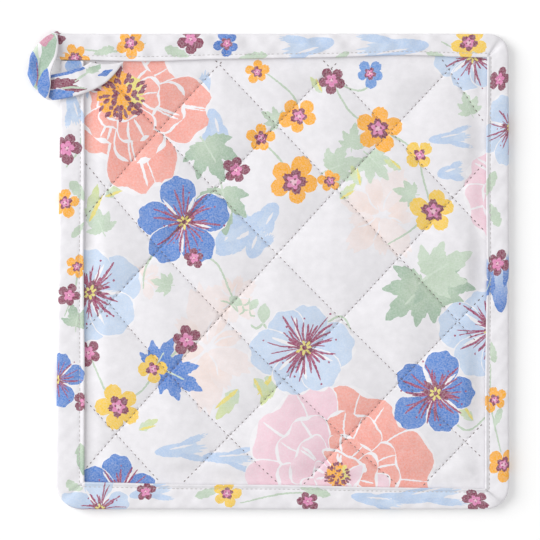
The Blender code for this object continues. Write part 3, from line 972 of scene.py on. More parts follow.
def printed_cotton(name):
    """Matt plain-woven cotton: the print's colours, flecked by the threads."""
    material, tree, shader = new_material(name, 0.92)
    shader.inputs["Specular IOR Level"].default_value = 0.15
    shader.inputs["Sheen Weight"].default_value = 0.12
    shader.inputs["Sheen Roughness"].default_value = 0.5
    colour = add_node(tree, "VertexColor", [("layer_name", "print")])
    place = ("Vector", add_node(tree, "TexCoord").outputs["Object"])

    fleck = add_node(tree, "TexNoise", (), [("Scale", 1500), ("Detail", 2)], [place])
    limits = [("From Min", 0.35), ("From Max", 0.75), ("To Min", 0.0), ("To Max", 0.32)]
    fleck_share = add_node(tree, "MapRange", (), limits, [("Value", fleck.outputs["Fac"])])
    sources = [("Factor", fleck_share.outputs["Result"]), ("A", colour.outputs["Color"])]
    bare = add_node(tree, "Mix", [("data_type", "RGBA")], [("B", (*ink("white"), 1))], sources)

    wash = add_node(tree, "TexNoise", (), [("Scale", 260), ("Detail", 3)], [place])
    limits = [("To Min", 0.80), ("To Max", 0.97)]
    wash_share = add_node(tree, "MapRange", (), limits, [("Value", wash.outputs["Fac"])])
    sources = [(0, bare.outputs["Result"]), ("Scale", wash_share.outputs["Result"])]
    tone = add_node(tree, "VectorMath", [("operation", "SCALE")], (), sources)
    tree.links.new(tone.outputs["Vector"], shader.inputs["Base Color"])

    waves = []
    for direction in ("X", "Y"):
        settings = [("wave_type", "BANDS"), ("bands_direction", direction)]
        scale = 2 * math.pi / (WAVE_FACTOR * WEAVE_PITCH)
        values = [("Scale", scale), ("Distortion", 0.6), ("Detail", 1)]
        waves.append(add_node(tree, "TexWave", settings, values, [place]).outputs["Fac"])
    height = add_node(tree, "Math", [("operation", "ADD")], (), enumerate(waves)).outputs["Value"]
    values = [("Strength", 0.25), ("Distance", 0.00006)]
    bump = add_node(tree, "Bump", (), values, [("Height", height)])
    tree.links.new(bump.outputs["Normal"], shader.inputs["Normal"])
    return material


# The binding: one strip, laid out flat as (run along the edge, place across its unrolled section).
GAP = 0.3
INNER_CORNER_RADIUS = 0.5
STATIONS_ON_SIDE = 26
STATIONS_ON_CORNER = 17
MITRE_DEPTH = 0.9
MITRE_HALF_WIDTH = 0.16
TONGUE_X = -102.9
TONGUE_RISE = 1.5
TONGUE_STATIONS = 4
SIDE_WAVES = {
    "left": (0.0, 0.3, -0.2, 0.2, 0.0),
    "bottom": (0.0, -0.3, 0.2, -0.1, 0.0),
    "right": (0.0, 0.2, -0.2, 0.3, 0.0),
    "top": (0.0, -1.2, -0.3, 0.0, 0.9, 0.0),
}

# The strip's section from its outer edge, as its share of the width, its height, and how far a
# mitre presses it. The front ends inside the slot, and so does the back.
FRONT_SECTION = (
    (0.000, 2.50, 0.2),
    (0.010, 3.35, 0.5),
    (0.035, 4.05, 0.8),
    (0.100, 4.50, 1.0),
    (0.300, 4.76, 1.0),
    (0.580, 4.70, 1.0),
    (0.760, 4.58, 0.9),
    (0.825, 4.36, 0.7),
    (0.880, 4.66, 0.5),
    (0.930, 5.02, 0.3),
    (0.972, 5.00, 0.1),
    (0.998, 4.70, 0.0),
    (0.992, 4.20, 0.0),
    (0.960, 3.82, 0.0),
    (0.860, 3.72, 0.0),
)
BACK_SECTION = (
    (0.000, 2.50, 0.0),
    (0.012, 1.60, 0.0),
    (0.050, 0.75, 0.0),
    (0.140, 0.12, 0.0),
    (0.300, 0.02, 0.0),
    (0.800, 0.02, 0.0),
    (0.960, 0.02, 0.0),
    (0.998, 0.35, 0.0),
    (0.990, 0.95, 0.0),
    (0.950, 1.20, 0.0),
    (0.850, 1.28, 0.0),
)
NOMINAL_WIDTH = 11.4
SECTION_POINTS = 90


def section_table():
    """The unrolled place, share, height and press at close steps round the strip's section."""
    ends = []
    for rows, sign in ((FRONT_SECTION, 1), (BACK_SECTION, -1)):
        rows = curve_through(np.array(rows), np.linspace(0, len(rows) - 1, SECTION_POINTS))
        steps = np.hypot(np.diff(rows[:, 0]) * NOMINAL_WIDTH, np.diff(rows[:, 1]))
        unrolled = sign * running_total(steps)
        ends.append(np.column_stack([unrolled, rows]))
    return np.vstack([ends[1][:0:-1], ends[0]])


SECTION = section_table()
FRONT_REACH = SECTION[-1, 0]
BACK_REACH = SECTION[0, 0]


def side_stations(first, last, waves):
    """Rows between two rows, with the inner edge moved by waves at even places."""
    stations = []
    outer_start, outer_end = Vector(first[0:2]), Vector(last[0:2])
    inner_start, inner_end = Vector(first[2:4]), Vector(last[2:4])
    along = (inner_end - inner_start).normalized()
    inwards = Vector((-along.y, along.x))
    for step in range(1, STATIONS_ON_SIDE):
        share = step / STATIONS_ON_SIDE
        place = share * (len(waves) - 1)
        index = min(int(place), len(waves) - 2)
        wave = waves[index] + (waves[index + 1] - waves[index]) * float(smooth(place - index))
        inner = inner_start.lerp(inner_end, share) + inwards * wave
        stations.append((*outer_start.lerp(outer_end, share), *inner, 0.0))
    return stations


def corner_stations(outer_corner, inner_corner, radius, first_angle):
    outer_corner, inner_corner = Vector(outer_corner), Vector(inner_corner)
    towards = Vector((math.copysign(1.0, outer_corner.x), math.copysign(1.0, outer_corner.y)))
    outer_centre = outer_corner - towards * radius
    inner_centre = inner_corner - towards * INNER_CORNER_RADIUS
    stations = []
    for step in range(STATIONS_ON_CORNER):
        share = step / (STATIONS_ON_CORNER - 1)
        angle = math.radians(first_angle + 90 * share)
        outwards = Vector((math.cos(angle), math.sin(angle)))
        mitre = MITRE_DEPTH * max(0.0, 1 - abs(share - 0.5) / MITRE_HALF_WIDTH)
        outer = outer_centre + outwards * radius
        stations.append((*outer, *(inner_centre + outwards * INNER_CORNER_RADIUS), mitre))
    return stations


def binding_stations():
    """Rows of outer x and y, inner x and y and the mitre's depth, with each side's first row."""
    start_y = INNER_TOP_LEFT[1] - GAP
    corners = (
        ((LEFT_X_AT_BOTTOM, BOTTOM_Y), INNER_BOTTOM_LEFT, CORNER_RADIUS["bottom_left"], 180),
        ((RIGHT_X_AT_BOTTOM, BOTTOM_Y), INNER_BOTTOM_RIGHT, CORNER_RADIUS["bottom_right"], 270),
        ((RIGHT_X_AT_TOP, TOP_Y), INNER_TOP_RIGHT, CORNER_RADIUS["top_right"], 0),
    )
    stations = [(LEFT_X_AT_TOP, start_y, INNER_TOP_LEFT[0], start_y, 0.0)]
    starts = [0]
    for side, corner in zip(("left", "bottom", "right"), corners):
        corner = corner_stations(*corner)
        stations += side_stations(stations[-1], corner[0], SIDE_WAVES[side]) + corner
        starts.append(len(stations) - 1)
    end = (LEFT_X_AT_TOP, TOP_Y, LEFT_X_AT_TOP, INNER_TOP_LEFT[1], 0.0)
    stations += side_stations(stations[-1], end, SIDE_WAVES["top"]) + [end]
    for step in range(TONGUE_STATIONS):
        share = (step + 1) / TONGUE_STATIONS
        x = LEFT_X_AT_TOP + (TONGUE_X - LEFT_X_AT_TOP) * share
        rise = TONGUE_RISE * math.sin(math.pi * (0.15 + 0.6 * share))
        stations.append((x, TOP_Y + rise, x, INNER_TOP_LEFT[1] + 0.3 * share, 0.0))
    return np.array(stations), starts


STATIONS, SIDE_STARTS = binding_stations()
MIDDLES = (STATIONS[:, 0:2] + STATIONS[:, 2:4]) / 2
RUNS = running_total(np.hypot(*np.diff(MIDDLES, axis=0).T))
BINDING_END = RUNS[-1 - TONGUE_STATIONS]
TONGUE_END = RUNS[-1]

PUCKERS = (
    (9.5, 0.5, 0.6, 0.10),
    (6.3, -0.6, 2.2, 0.07),
    (14.0, 0.2, 4.1, 0.09),
    (4.4, 0.9, 1.0, 0.03),
)
TOP_PUCKERS = (
    (8.2, 0.75, 0.0, 0.16),
    (12.6, 0.55, 2.0, 0.20),
)


PUCKER_INSET = 2.5
PUCKER_FADE = 3.0
TOP_FADE = 20.0
TONGUE_LIFT = 0.35
TONGUE_LEAD = 4.0
TONGUE_FADE = 5.0
TONGUE_EDGE_FADE = 2.0


def binding_place(run, across):
    """A point of the binding in mm, at its run and its unrolled place across."""
    outer_x, outer_y, inner_x, inner_y, mitre = (np.interp(run, RUNS, row) for row in STATIONS.T)
    share, height, press = (np.interp(across, SECTION[:, 0], row) for row in SECTION.T[1:])
    x = outer_x + (inner_x - outer_x) * share
    y = outer_y + (inner_y - outer_y) * share
    before_lip = smooth((FRONT_REACH - PUCKER_INSET - across) / PUCKER_FADE)
    on_front = smooth(across / PUCKER_FADE) * before_lip
    on_top = smooth((run - RUNS[SIDE_STARTS[3]]) / TOP_FADE)
    waves = ripples(run, across, PUCKERS) + on_top * ripples(run, across, TOP_PUCKERS)
    height = height - mitre * press + on_front * waves
    on_tongue = smooth((run - BINDING_END + TONGUE_LEAD) / TONGUE_FADE) * (across > 0)
    height = height + TONGUE_LIFT * on_tongue * smooth(across / TONGUE_EDGE_FADE)
    return np.column_stack([x, y, height])


# Where each side starts, in world mm along it, in the strip's order, and the length in mm that the
# strip takes up round its outer edge before it lies flat.
SIDE_FIRST_PLACES = {"left": 93.2, "bottom": -89.1, "right": -94.9, "top": 90.9}
EDGE_ROUND = 2.3
BACK_FLOWER_SPACING = 47.0


def at(side, along, across):
    """The strip's run and place across, at a world place along a side and inwards of its edge."""
    forward = along - SIDE_FIRST_PLACES[side]
    if side in ("left", "top"):
        forward = -forward
    run = RUNS[SIDE_STARTS[list(SIDE_FIRST_PLACES).index(side)]]
    return run + forward, across + EDGE_ROUND


def binding_print():
    """Small flowers, leaves and stems along the strip."""
    cloth = Print()
    washes = (
        ("left", 72, 4, 14, 6, 0.2, "pale blue"), ("bottom", 62, 4, 30, 8, 0.2, "pale blue"),
        ("bottom", 40, 6, 22, 6, -0.2, "pale blue"), ("top", 12, 3, 22, 8, 0.2, "pale blue"),
        ("top", 50, 5, 30, 9, 0.1, "pale blue"), ("bottom", -60, 5, 18, 5, 0.2, "pale blue"),
        ("right", -6, 3, 24, 8, 0.1, "blue"),
    )
    for side, along, across, length, width, turn, colour in washes:
        x, y = at(side, along, across)
        cloth.brush(x - length / 2, y, length, width, turn, colour, "paler blue")
    stems = (
        ("top", -88, 6, -60, 3), ("left", 60, 9, 46, 2), ("left", 8, 8, -20, 2),
        ("right", -80, 3, -40, 8), ("bottom", -20, 2, 20, 7), ("top", 70, 3, 88, 8),
    )
    for side, along, across, to_along, to_across in stems:
        start, end = at(side, along, across), at(side, to_along, to_across)
        middle = ((start[0] + end[0]) / 2, (start[1] + end[1]) / 2 + 2.0)
        cloth.stem((start, middle, end), 0.8)
    leaves = (
        ("top", -6, 9, 13, 5, 0.1), ("top", 64, 9, 10, 4, 2.9), ("top", -74, 5, 10, 4, 0.3),
        ("top", -52, 5, 12, 5, 2.8), ("left", 40, 4, 12, 6, 0.7),
        ("left", 15, 5, 9, 4, 2.4), ("left", -92, 4, 10, 5, 0.4), ("right", 20, 4, 12, 6, 0.4),
        ("right", 45, 6, 12, 6, 2.7), ("right", -40, 6, 10, 4, 0.2), ("bottom", -40, 5, 12, 5, 0.3),
        ("bottom", 20, 6, 14, 5, 2.9), ("top", 30, 8, 9, 4, 0.6), ("right", -60, 3, 9, 4, 2.8),
    )
    for side, along, across, length, width, turn in leaves:
        cloth.leaf(*at(side, along, across), length, width, turn, "sage", "pale sage", 4)
    pale = ("pale blue", "paler blue", "paler blue")
    strong = ("blue", "mid blue", "mid blue")
    cloth.spray(*at("left", -24, 7), 12, 2.9, "sage", "deep sage", 4)
    cloth.leaf(*at("left", -76, 9), 15, 6, 0.1, "sage", "deep sage", 3)
    for side, along, across, radius, inks in (
        ("left", -47, -1, 13, strong), ("bottom", -82, -1, 16, pale), ("right", 62, -2, 16, pale),
    ):
        cloth.anemone(*at(side, along, across), radius, 0.4, 5, inks, 24)
    cloth.spray(*at("right", -4, 9), 11, 2.6, "blue", "mid blue", 3, 1.7)
    cloth.lay(blob(2.9, 4, 0.12, 0.9), "burgundy", (*at("top", -98.7, 1.3), 0.2))
    cloth.lay(petal(7.5, 8.5, 1.0, 0.5, 0.08), "light blue", (*at("left", 94.5, 5.5), 0.0), "pale blue")
    cloth.lay(stroke((at("left", 82, 12.4), at("left", 75, 12.8), at("left", 66, 12.4)), 2.2), "blue")
    flowers = (
        ("left", 54.5, 2.5, 7.0, 0.2, 5, "burgundy"), ("left", 30.5, 2.0, 7.0, 0.5, 5, "orange"),
        ("left", 2, 7.5, 5.2, 0.4, 5, "orange"), ("left", -10.5, 4, 5.2, 0.2, 5, "burgundy"),
        ("left", -58, 10.5, 4.6, 0.8, 4, "burgundy"),
        ("top", -67, 3.0, 6.4, 0.4, 5, "orange"), ("top", -40.5, 1.5, 6.2, 0.3, 5, "burgundy"),
        ("top", -24.5, 3.5, 6.0, 0.2, 5, "blue"), ("top", 82.4, 3.5, 8.6, 0.3, 5, "yellow"),
        ("top", -91.5, 9.8, 6.6, 0.9, 6, "orange"), ("right", 85, 4, 5.6, 0.9, 5, "burgundy"),
        ("right", 3.8, 5, 6.2, 0.7, 5, "burgundy"), ("right", -56.4, 6, 5.6, 0.2, 5, "orange"),
        ("right", -85.3, 2.0, 7.4, 0.7, 5, "orange"), ("bottom", -25.9, 6.5, 6.4, 0.1, 5, "yellow"),
        ("bottom", 84, 4, 6.4, 0.5, 5, "burgundy"), ("bottom", -62, 7, 4.6, 0.3, 5, "burgundy"),
        ("bottom", 10, 3, 5.0, 0.6, 5, "burgundy"),
    )
    for side, along, across, radius, turn, petals, main in flowers:
        cloth.flower(*at(side, along, across), radius, turn, petals, main)
    for number, run in enumerate(np.arange(24.0, BINDING_END - 20, BACK_FLOWER_SPACING)):
        main = ("orange", "burgundy", "yellow", "blue")[number % 4]
        cloth.leaf(run + 5, -7.0 - number % 3, 13, 5, 0.2, "sage", "pale sage", 4)
        cloth.flower(run, -7.5 - number % 2, 5.5, 0.5 * number, 5, main)
    return cloth


# The flat strip's points, in mm: their steps round its edge, along it and across it.
BINDING_EDGE_STEP = 1.6
BINDING_RUN_STEP = 1.5
BINDING_ACROSS_STEP = 0.6
BINDING_MARGIN = 0.3
BINDING_NORMAL_STEP = 0.2


def binding():
    outline = [
        (0, BACK_REACH), (BINDING_END, BACK_REACH), (BINDING_END, 0), (TONGUE_END, 0),
        (TONGUE_END, FRONT_REACH), (0, FRONT_REACH),
    ]
    field = field_of(
        np.arange(0.8, TONGUE_END, BINDING_RUN_STEP),
        np.arange(BACK_REACH + 0.4, FRONT_REACH, BINDING_ACROSS_STEP),
    )
    inside = (field[:, 0] < BINDING_END - BINDING_MARGIN) | (field[:, 1] > BINDING_MARGIN)
    points = edge_points(outline, BINDING_EDGE_STEP)
    flat, triangles, colours = cut_cloth(points, binding_print(), field[inside])
    made = add_mesh(
        "binding_cloth",
        binding_place(*flat.T),
        triangles,
        surface_normals(binding_place, *flat.T, BINDING_NORMAL_STEP),
        colours,
        printed_cotton("binding_cotton"),
    )
    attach(made, "root")
    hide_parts("binding")


# The hanging loop, laid out flat as (run along the strip, place round its doubled section).
LOOP_ROWS = (
    (0.0, 170.0, 11.6, 0.18, 0.0, 0.0),
    (7.0, 174.0, 11.4, -0.60, 0.0, 0.0),
    (12.0, 181.0, 10.6, -0.20, 0.1, 0.6),
    (17.0, 180.0, 10.0, 0.20, 0.3, 1.7),
    (22.0, 175.0, 10.0, 0.60, 0.3, 1.6),
    (27.0, 174.0, 10.7, 0.90, 0.3, 0.6),
    (31.0, 187.0, 11.2, 0.70, 0.4, 0.1),
    (37.0, 198.0, 11.4, 0.45, 1.8, 0.0),
    (46.0, 206.0, 11.4, 0.45, 2.25, 0.0),
    (52.0, 216.0, 11.4, 0.60, 1.3, 0.0),
    (58.0, 234.0, 11.2, 0.80, 0.9, 0.0),
    (64.0, 244.0, 11.0, 1.0, 0.6, 0.0),
    (74.0, 244.0, 11.0, 1.0, 0.6, 0.0),
)
LOOP_START = (-99.1, 99.7)
LOOP_START_HEIGHT = 4.1
LOOP_THICKNESS = 1.3
LOOP_LENGTH = 60.4
LOOP_HIDDEN_START = -2.5
FOLD_OVER = {"at": 7.9, "angle": 41.0, "radius": 1.55, "bulge": 1.6}
FOLD_UNDER = {"at": 26.9, "angle": -45.0, "radius": 1.35, "bulge": 1.6}
FOLD_HALF_LENGTH = 8.0
BULGE_FADE = 8.0
LOOP_TABLE_STEP = 0.05
LOOP_FACE = 10.0
BAND_SHIFT = 0.9
BAND_WIDENING = 2.2
LOOP_EDGE = 2.1
LOOP_ROUND = 2 * (LOOP_FACE + LOOP_EDGE)
LOOP_SLIMMEST = 0.94
LOOP_SLIM_FADE = 3.0
LOOP_END_TAPER = 0.7
LOOP_END_THICKNESS = 0.02
LOOP_CROWN = 0.12
LOOP_WAVE = 0.10
LOOP_WAVE_FROM = 9
LOOP_WAVE_FADE = 4
BAND_FROM = 7
BAND_TO = 22
BAND_FADE = 5
WIDENING_FROM = 9.0
WIDENING_FADE = 12.0


def read_rows(rows, places):
    """A table's columns at places along it, eased between neighbouring rows."""
    rows = np.array(rows)
    index = np.clip(np.searchsorted(rows[1:, 0], places), 0, len(rows) - 2)
    before, after = rows[index], rows[index + 1]
    share = smooth((places - before[:, 0]) / (after[:, 0] - before[:, 0]))[:, None]
    return (before + (after - before) * share).T


def loop_centre_table():
    places = np.arange(-4.0, 76.0, LOOP_TABLE_STEP)
    headings = np.radians(read_rows(LOOP_ROWS, places + LOOP_TABLE_STEP / 2)[1])
    x = running_total(np.cos(headings)[:-1]) * LOOP_TABLE_STEP
    y = running_total(np.sin(headings)[:-1]) * LOOP_TABLE_STEP
    x += LOOP_START[0] - np.interp(0, places, x)
    y += LOOP_START[1] - np.interp(0, places, y)
    return places, x, y


LOOP_CENTRE = loop_centre_table()


def loop_centre(run):
    places, x, y = LOOP_CENTRE
    heading = np.radians(read_rows(LOOP_ROWS, run)[1])
    return np.column_stack([np.interp(run, places, x), np.interp(run, places, y)]), heading


def fold(points, row):
    """Rolls what lies beyond a slanting line up and over it, round a half turn."""
    radius = row["radius"]
    angle = math.radians(row["angle"])
    along = np.array((math.cos(angle), math.sin(angle)))
    beyond = np.array((-along[1], along[0]))
    centre, heading = loop_centre(np.array([row["at"]]))
    if beyond @ (math.cos(heading[0]), math.sin(heading[0])) < 0:
        beyond = -beyond
    from_line = (points[:, :2] - centre) @ beyond
    from_middle = (points[:, :2] - centre) @ along / FOLD_HALF_LENGTH
    bulge = row["bulge"] * np.maximum(0, 1 - from_middle**2) * (1 - smooth(from_line / BULGE_FADE))
    distance = from_line + radius * math.pi / 2 - bulge
    on_line = points[:, :2] - np.outer(distance, beyond)
    axis_height = LOOP_START_HEIGHT + radius
    turn = np.clip(distance / radius, 0, math.pi)
    reach = axis_height - points[:, 2]
    past = distance - turn * radius
    place = on_line + np.outer(reach * np.sin(turn) - past, beyond)
    rolled = np.column_stack([place, axis_height - reach * np.cos(turn)])
    return np.where((distance <= 0)[:, None], points, rolled)


# The section's parts in order: 1 and 3 are flat faces. The rest are rounded edges, each with its
# first angle and the angle that it turns through.
ROUND_PARTS = {
    0: (math.pi, -math.pi / 2),
    2: (math.pi / 2, -math.pi),
    4: (-math.pi / 2, -math.pi / 2),
}


def loop_section(around):
    """The share across, from -1 to 1, and the share above, from -1 to 1, round the section."""
    half = LOOP_FACE / 2
    edge = LOOP_EDGE / 2
    around = np.mod(around, LOOP_ROUND)
    second_edge = edge + LOOP_FACE
    marks = np.array([0, edge, second_edge, second_edge + LOOP_EDGE, LOOP_ROUND - edge, LOOP_ROUND])
    part = np.clip(np.searchsorted(marks, around, side="right") - 1, 0, 4)
    share = around - marks[part]
    corner = half / (half + LOOP_THICKNESS / 2)
    rest = 1 - corner
    across = np.zeros_like(around)
    above = np.zeros_like(around)
    for number, (first, span) in ROUND_PARTS.items():
        chosen = part == number
        length = marks[number + 1] - marks[number]
        angle = first + span * share / length
        side = 1 if number == 2 else -1
        across = np.where(chosen, side * corner + rest * np.cos(angle), across)
        above = np.where(chosen, np.sin(angle), above)
    for number, side in ((1, 1.0), (3, -1.0)):
        across = np.where(part == number, side * (-corner + 2 * corner * share / LOOP_FACE), across)
        above = np.where(part == number, side, above)
    return across, above


def loop_place(run, around):
    """A point of the loop in mm. The strip is a little slimmer where it lies under the binding."""
    across, above = loop_section(around)
    above = above * np.maximum(smooth((LOOP_LENGTH - run) / LOOP_END_TAPER), LOOP_END_THICKNESS)
    across = across * (LOOP_SLIMMEST + (1 - LOOP_SLIMMEST) * smooth((run - 0.5) / LOOP_SLIM_FADE))
    rows = read_rows(LOOP_ROWS, run)
    place = run + rows[3] * across * rows[2] / 2
    rows = read_rows(LOOP_ROWS, place)
    centre, heading = loop_centre(place)
    sideways = np.column_stack([np.sin(heading), -np.cos(heading)])
    flat = centre + sideways * (across * rows[2] / 2)[:, None]
    crown = 1 + LOOP_CROWN * (1 - across**2)
    height = LOOP_START_HEIGHT + above * crown * LOOP_THICKNESS / 2
    waves = LOOP_WAVE * np.sin(1.1 * run + 0.8 * across * 5)
    height = height + waves * (1 - np.abs(across) ** 3) * smooth((run - LOOP_WAVE_FROM) / LOOP_WAVE_FADE)
    folded = fold(fold(np.column_stack([flat, height]), FOLD_UNDER), FOLD_OVER)
    folded[:, 2] += rows[4] - rows[5] * (1 - np.abs(across)) + rows[5] / 2
    on_band = smooth((run - BAND_FROM) / BAND_FADE)
    past_band = smooth((run - BAND_TO) / BAND_FADE)
    folded[:, 0] += BAND_SHIFT * on_band * (1 - past_band)
    raised = smooth((folded[:, 2] - LOOP_START_HEIGHT - FOLD_OVER["radius"]) / FOLD_OVER["radius"])
    inner = smooth((across + 0.3) / 1.3) * raised * (1 - smooth((run - WIDENING_FROM) / WIDENING_FADE))
    folded[:, 0] += BAND_WIDENING * inner
    return folded


def loop_print():
    cloth = Print(0.6, 0.07)
    top, under = LOOP_EDGE / 2, LOOP_EDGE * 1.5 + LOOP_FACE
    cloth.lay(stroke(((6, under + 1), (14, under + 2.9), (28, under + 5.6)), 4.4), "sage", rim="deep sage")
    cloth.lay(stroke(((7, under + 6.6), (13, under + 7.2), (19, under + 7.4)), 3.6), "sage", rim="pale sage")
    cloth.lay(stroke(((9, under + 4.4), (12, under + 4.9), (15, under + 5.4)), 1.2), "ground")
    cloth.lay(blob(3.4, 4, 0.15, 0.7), "mauve", (7.6, under + 2.8, 0.3))
    cloth.lay(petal(21, 5.8, 0.9, 0.6, 0.04), "blue", (12.0, under + 9.0, -0.05), "mid blue")
    cloth.lay(petal(12, 5.2, 1.1, 0.6, 0.04), "blue", (18.0, under + 1.6, 0.1), "mid blue")
    cloth.lay(stroke(((17, under + 7.0), (22, under + 5.9), (27, under + 5.0)), 0.6), "ray")
    cloth.lay(stroke(((26.5, top + 0.1), (36, top - 0.3), (46, top - 0.3), (54, top + 0.2)), 2.2), "blue")
    cloth.leaf(31.5, top + 3.4, 15, 5.6, 0.06, "burgundy", None, 4)
    cloth.leaf(37, top + 5.4, 10, 4.4, 0.4, "burgundy", None, 3)
    cloth.lay(stroke(((37, top + 6.0), (42, top + 6.8), (46, top + 9)), 1.1), "sage")
    cloth.lay(petal(14, 6.2, 0.9, 0.6, 0.06), "blue", (26.5, top + 8.6, 0.04), "mid blue")
    cloth.lay(stroke(((44, top + 4.6), (49, top + 3.2), (54, top + 2.6)), 0.9), "pale sage")
    cloth.leaf(52, top + 2.6, 8.4, 4.4, 0.05, "sage", "deep sage", 4)
    cloth.lay(blob(2.0, 4, 0.2, 0.7), "blue", (55.5, top + 7.4, 0.4))
    return cloth


LOOP_STEP = 0.5
LOOP_NORMAL_STEP = 0.1


def hanging_loop():
    outline = [
        (LOOP_HIDDEN_START, 0), (LOOP_LENGTH, 0), (LOOP_LENGTH, LOOP_ROUND),
        (LOOP_HIDDEN_START, LOOP_ROUND),
    ]
    field = field_of(
        np.arange(LOOP_HIDDEN_START + 0.25, LOOP_LENGTH, LOOP_STEP),
        np.arange(0.3, LOOP_ROUND - 0.2, LOOP_STEP),
    )
    points = edge_points(outline, LOOP_STEP)
    flat, triangles, colours = cut_cloth(points, loop_print(), field)
    normals = -surface_normals(loop_place, *flat.T, LOOP_NORMAL_STEP)
    made = add_mesh(
        "loop_cloth", loop_place(*flat.T), triangles[:, ::-1], normals, colours[:, ::-1],
        printed_cotton("loop_cotton"),
    )
    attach(made, "root")
    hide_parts("hanging_loop")


# Sewing.
DASH_RINGS = 5
DASH_SIDES = 6
DASH_END_SIZE = 0.2


def dashes(name, rows, radius, colour):
    """Short stitches, each a slim rounded body between two points, joined in one mesh."""
    points, faces = [], []
    ring_share = np.linspace(0, 1, DASH_RINGS)
    ring_size = np.sqrt(np.maximum(1 - (2 * ring_share - 1) ** 4, DASH_END_SIZE**2))
    angles = np.linspace(0, 2 * math.pi, DASH_SIDES, endpoint=False)
    for start, end, lift in rows:
        along = end - start
        sideways = np.cross(along, (0, 0, 1.0))
        sideways /= np.linalg.norm(sideways)
        up = np.cross(sideways, along)
        up /= np.linalg.norm(up)
        first = len(points)
        for share, size in zip(ring_share, ring_size):
            centre = start + along * share + up * lift * math.sin(math.pi * share)
            for angle in angles:
                points.append(centre + radius * size * (sideways * math.cos(angle) + up * math.sin(angle)))
        for ring in range(DASH_RINGS - 1):
            for side in range(DASH_SIDES):
                a = first + ring * DASH_SIDES + side
                b = first + ring * DASH_SIDES + (side + 1) % DASH_SIDES
                faces += [(a, b, b + DASH_SIDES), (a, b + DASH_SIDES, a + DASH_SIDES)]
        last = first + (DASH_RINGS - 1) * DASH_SIDES
        for side in range(1, DASH_SIDES - 1):
            faces.append((first, first + side + 1, first + side))
            faces.append((last, last + side, last + side + 1))
    made = add_mesh(name, points, faces, material=thread_material(name, colour))
    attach(made, "root")


def thread_material(name, colour):
    material, tree, shader = new_material(name + "_thread", 0.7)
    place = add_node(tree, "TexCoord").outputs["Object"]
    twist = add_node(tree, "TexNoise", (), [("Scale", 2500)], [("Vector", place)])
    tints = [("A", (*(colour * 0.7), 1)), ("B", (*np.minimum(colour * 1.35, 1), 1))]
    sources = [("Factor", twist.outputs["Fac"])]
    ramp = add_node(tree, "Mix", [("data_type", "RGBA")], tints, sources)
    tree.links.new(ramp.outputs["Result"], shader.inputs["Base Color"])
    return material


STITCH_PITCH = 2.43
STITCH_LENGTH = 1.15
STITCH_RADIUS = 0.18
# The quilting stitches' dark colour is partly painted shade: the dashes stand for the thread and also for
# the shaded needle holes along the sewn lines.
STITCH_AND_HOLE_SHADE_COLOUR = np.array((0.17, 0.13, 0.125))
TOPSTITCH_PITCH = 2.05
TOPSTITCH_LENGTH = 1.35
TOPSTITCH_RADIUS = 0.17
TOPSTITCH_COLOUR = np.array((0.50, 0.48, 0.48))
TOPSTITCH_LIFT = 0.06
SEWING_STEP = 0.5
FEWEST_POINTS = 8

# The topstitch's place, as its share of the binding's width.
SEAM_SHARE = 0.825


def stitches_along(path, pitch, length):
    """Start and end places of each stitch along a line's points."""
    lengths = running_total(np.linalg.norm(np.diff(path, axis=0), axis=1))
    starts = np.arange(0.3, lengths[-1] - length, pitch)
    starts += chance.uniform(-0.12, 0.12, starts.shape)
    ends = starts + length * chance.uniform(0.85, 1.1, starts.shape)
    read = [
        np.column_stack([np.interp(places, lengths, path[:, axis]) for axis in range(path.shape[1])])
        for places in (starts, ends)
    ]
    return list(zip(*read))


def sewing():
    # Each side's surface, how far its stitches keep inside the binding, their depth and their arch.
    sides = (
        ("quilting_thread", front_height, 0.3, -0.02, 0.12),
        ("back_thread", back_height, 3.8, -0.05, -0.1),
    )
    for name, surface, clear, sink, lift in sides:
        rows = []
        for line in sewn_lines(SEWING_STEP):
            inside = inside_binding(*line.T) > clear
            if inside.sum() < FEWEST_POINTS:
                continue
            path = np.column_stack([line, surface(*line.T) + sink])[inside]
            stitches = stitches_along(path, STITCH_PITCH, STITCH_LENGTH)
            rows += [(start, end, lift) for start, end in stitches]
        # Dark dashes with painted shade: their colour stands partly for the shade in the needle holes.
        dashes(name, rows, STITCH_RADIUS, STITCH_AND_HOLE_SHADE_COLOUR)
    runs = np.arange(1.0, BINDING_END - 4.0, SEWING_STEP)
    front = SECTION[SECTION[:, 0] >= 0]
    seam = front[np.argmin(np.abs(front[:, 1] - SEAM_SHARE)), 0]
    path = binding_place(runs, np.full_like(runs, seam))
    stitches = stitches_along(path, TOPSTITCH_PITCH, TOPSTITCH_LENGTH)
    rows = [(start, end, TOPSTITCH_LIFT) for start, end in stitches]
    dashes("topstitch_thread", rows, TOPSTITCH_RADIUS, TOPSTITCH_COLOUR)


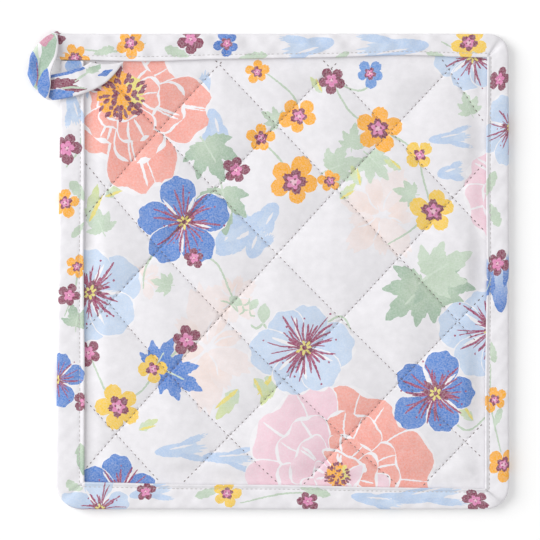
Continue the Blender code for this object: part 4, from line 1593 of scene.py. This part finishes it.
# Lights, by name, place and size in metres and power in watts, then the floor, the world and the
# camera's place and view, in metres.
LIGHTS = (
    ("key", (-2.1, 0.75, 1.5), 2.4, 64.0),
    ("fill", (1.0, -0.4, 2.2), 2.0, 12.0),
)
FLOOR_SIZE = 3.0
FLOOR_COLOUR = (0.96, 0.96, 0.96, 1)
WORLD_STRENGTH = 0.55
CAMERA_PLACE = (-0.00597, 0.00066, 1.5)
VIEW_WIDTH = 0.2387
AIM_HEIGHT = 0.005


def studio():
    """A pale floor, soft light mostly from the left, and the camera straight above."""
    floor_mesh = bpy.data.meshes.new("floor")
    shape = bmesh.new()
    bmesh.ops.create_grid(shape, x_segments=1, y_segments=1, size=FLOOR_SIZE)
    shape.to_mesh(floor_mesh)
    shape.free()
    floor = add_object("floor", floor_mesh)
    material, _, shader = new_material("floor_pale", 0.9)
    shader.inputs["Base Color"].default_value = FLOOR_COLOUR
    floor_mesh.materials.append(material)
    floor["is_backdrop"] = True

    world = bpy.data.worlds.new("studio")
    world.use_nodes = True
    background = world.node_tree.nodes["Background"]
    background.inputs["Color"].default_value = (1, 1, 1, 1)
    background.inputs["Strength"].default_value = WORLD_STRENGTH
    bpy.context.scene.world = world
    for name, place, size, power in LIGHTS:
        light = bpy.data.lights.new(name, "AREA")
        light.size = size
        light.energy = power
        lamp = add_object(name, light)
        lamp.location = place
        lamp.rotation_euler = (-Vector(place)).to_track_quat("-Z", "Y").to_euler()

    camera_data = bpy.data.cameras.new("camera")
    camera_data.sensor_width = 36.0
    camera_data.lens = camera_data.sensor_width * (CAMERA_PLACE[2] - AIM_HEIGHT) / VIEW_WIDTH
    camera = add_object("camera", camera_data)
    camera.location = CAMERA_PLACE
    bpy.context.scene.camera = camera
    bpy.context.scene.view_settings.view_transform = "Standard"


def write_sizes():
    boxes = {"cad": cad_bounds, "visual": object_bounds()}
    plain = {name: [list(map(float, corner)) for corner in box] for name, box in boxes.items()}


studio()
RELIEF = relief_blocks()
panel()
binding()
hanging_loop()
sewing()
write_sizes()
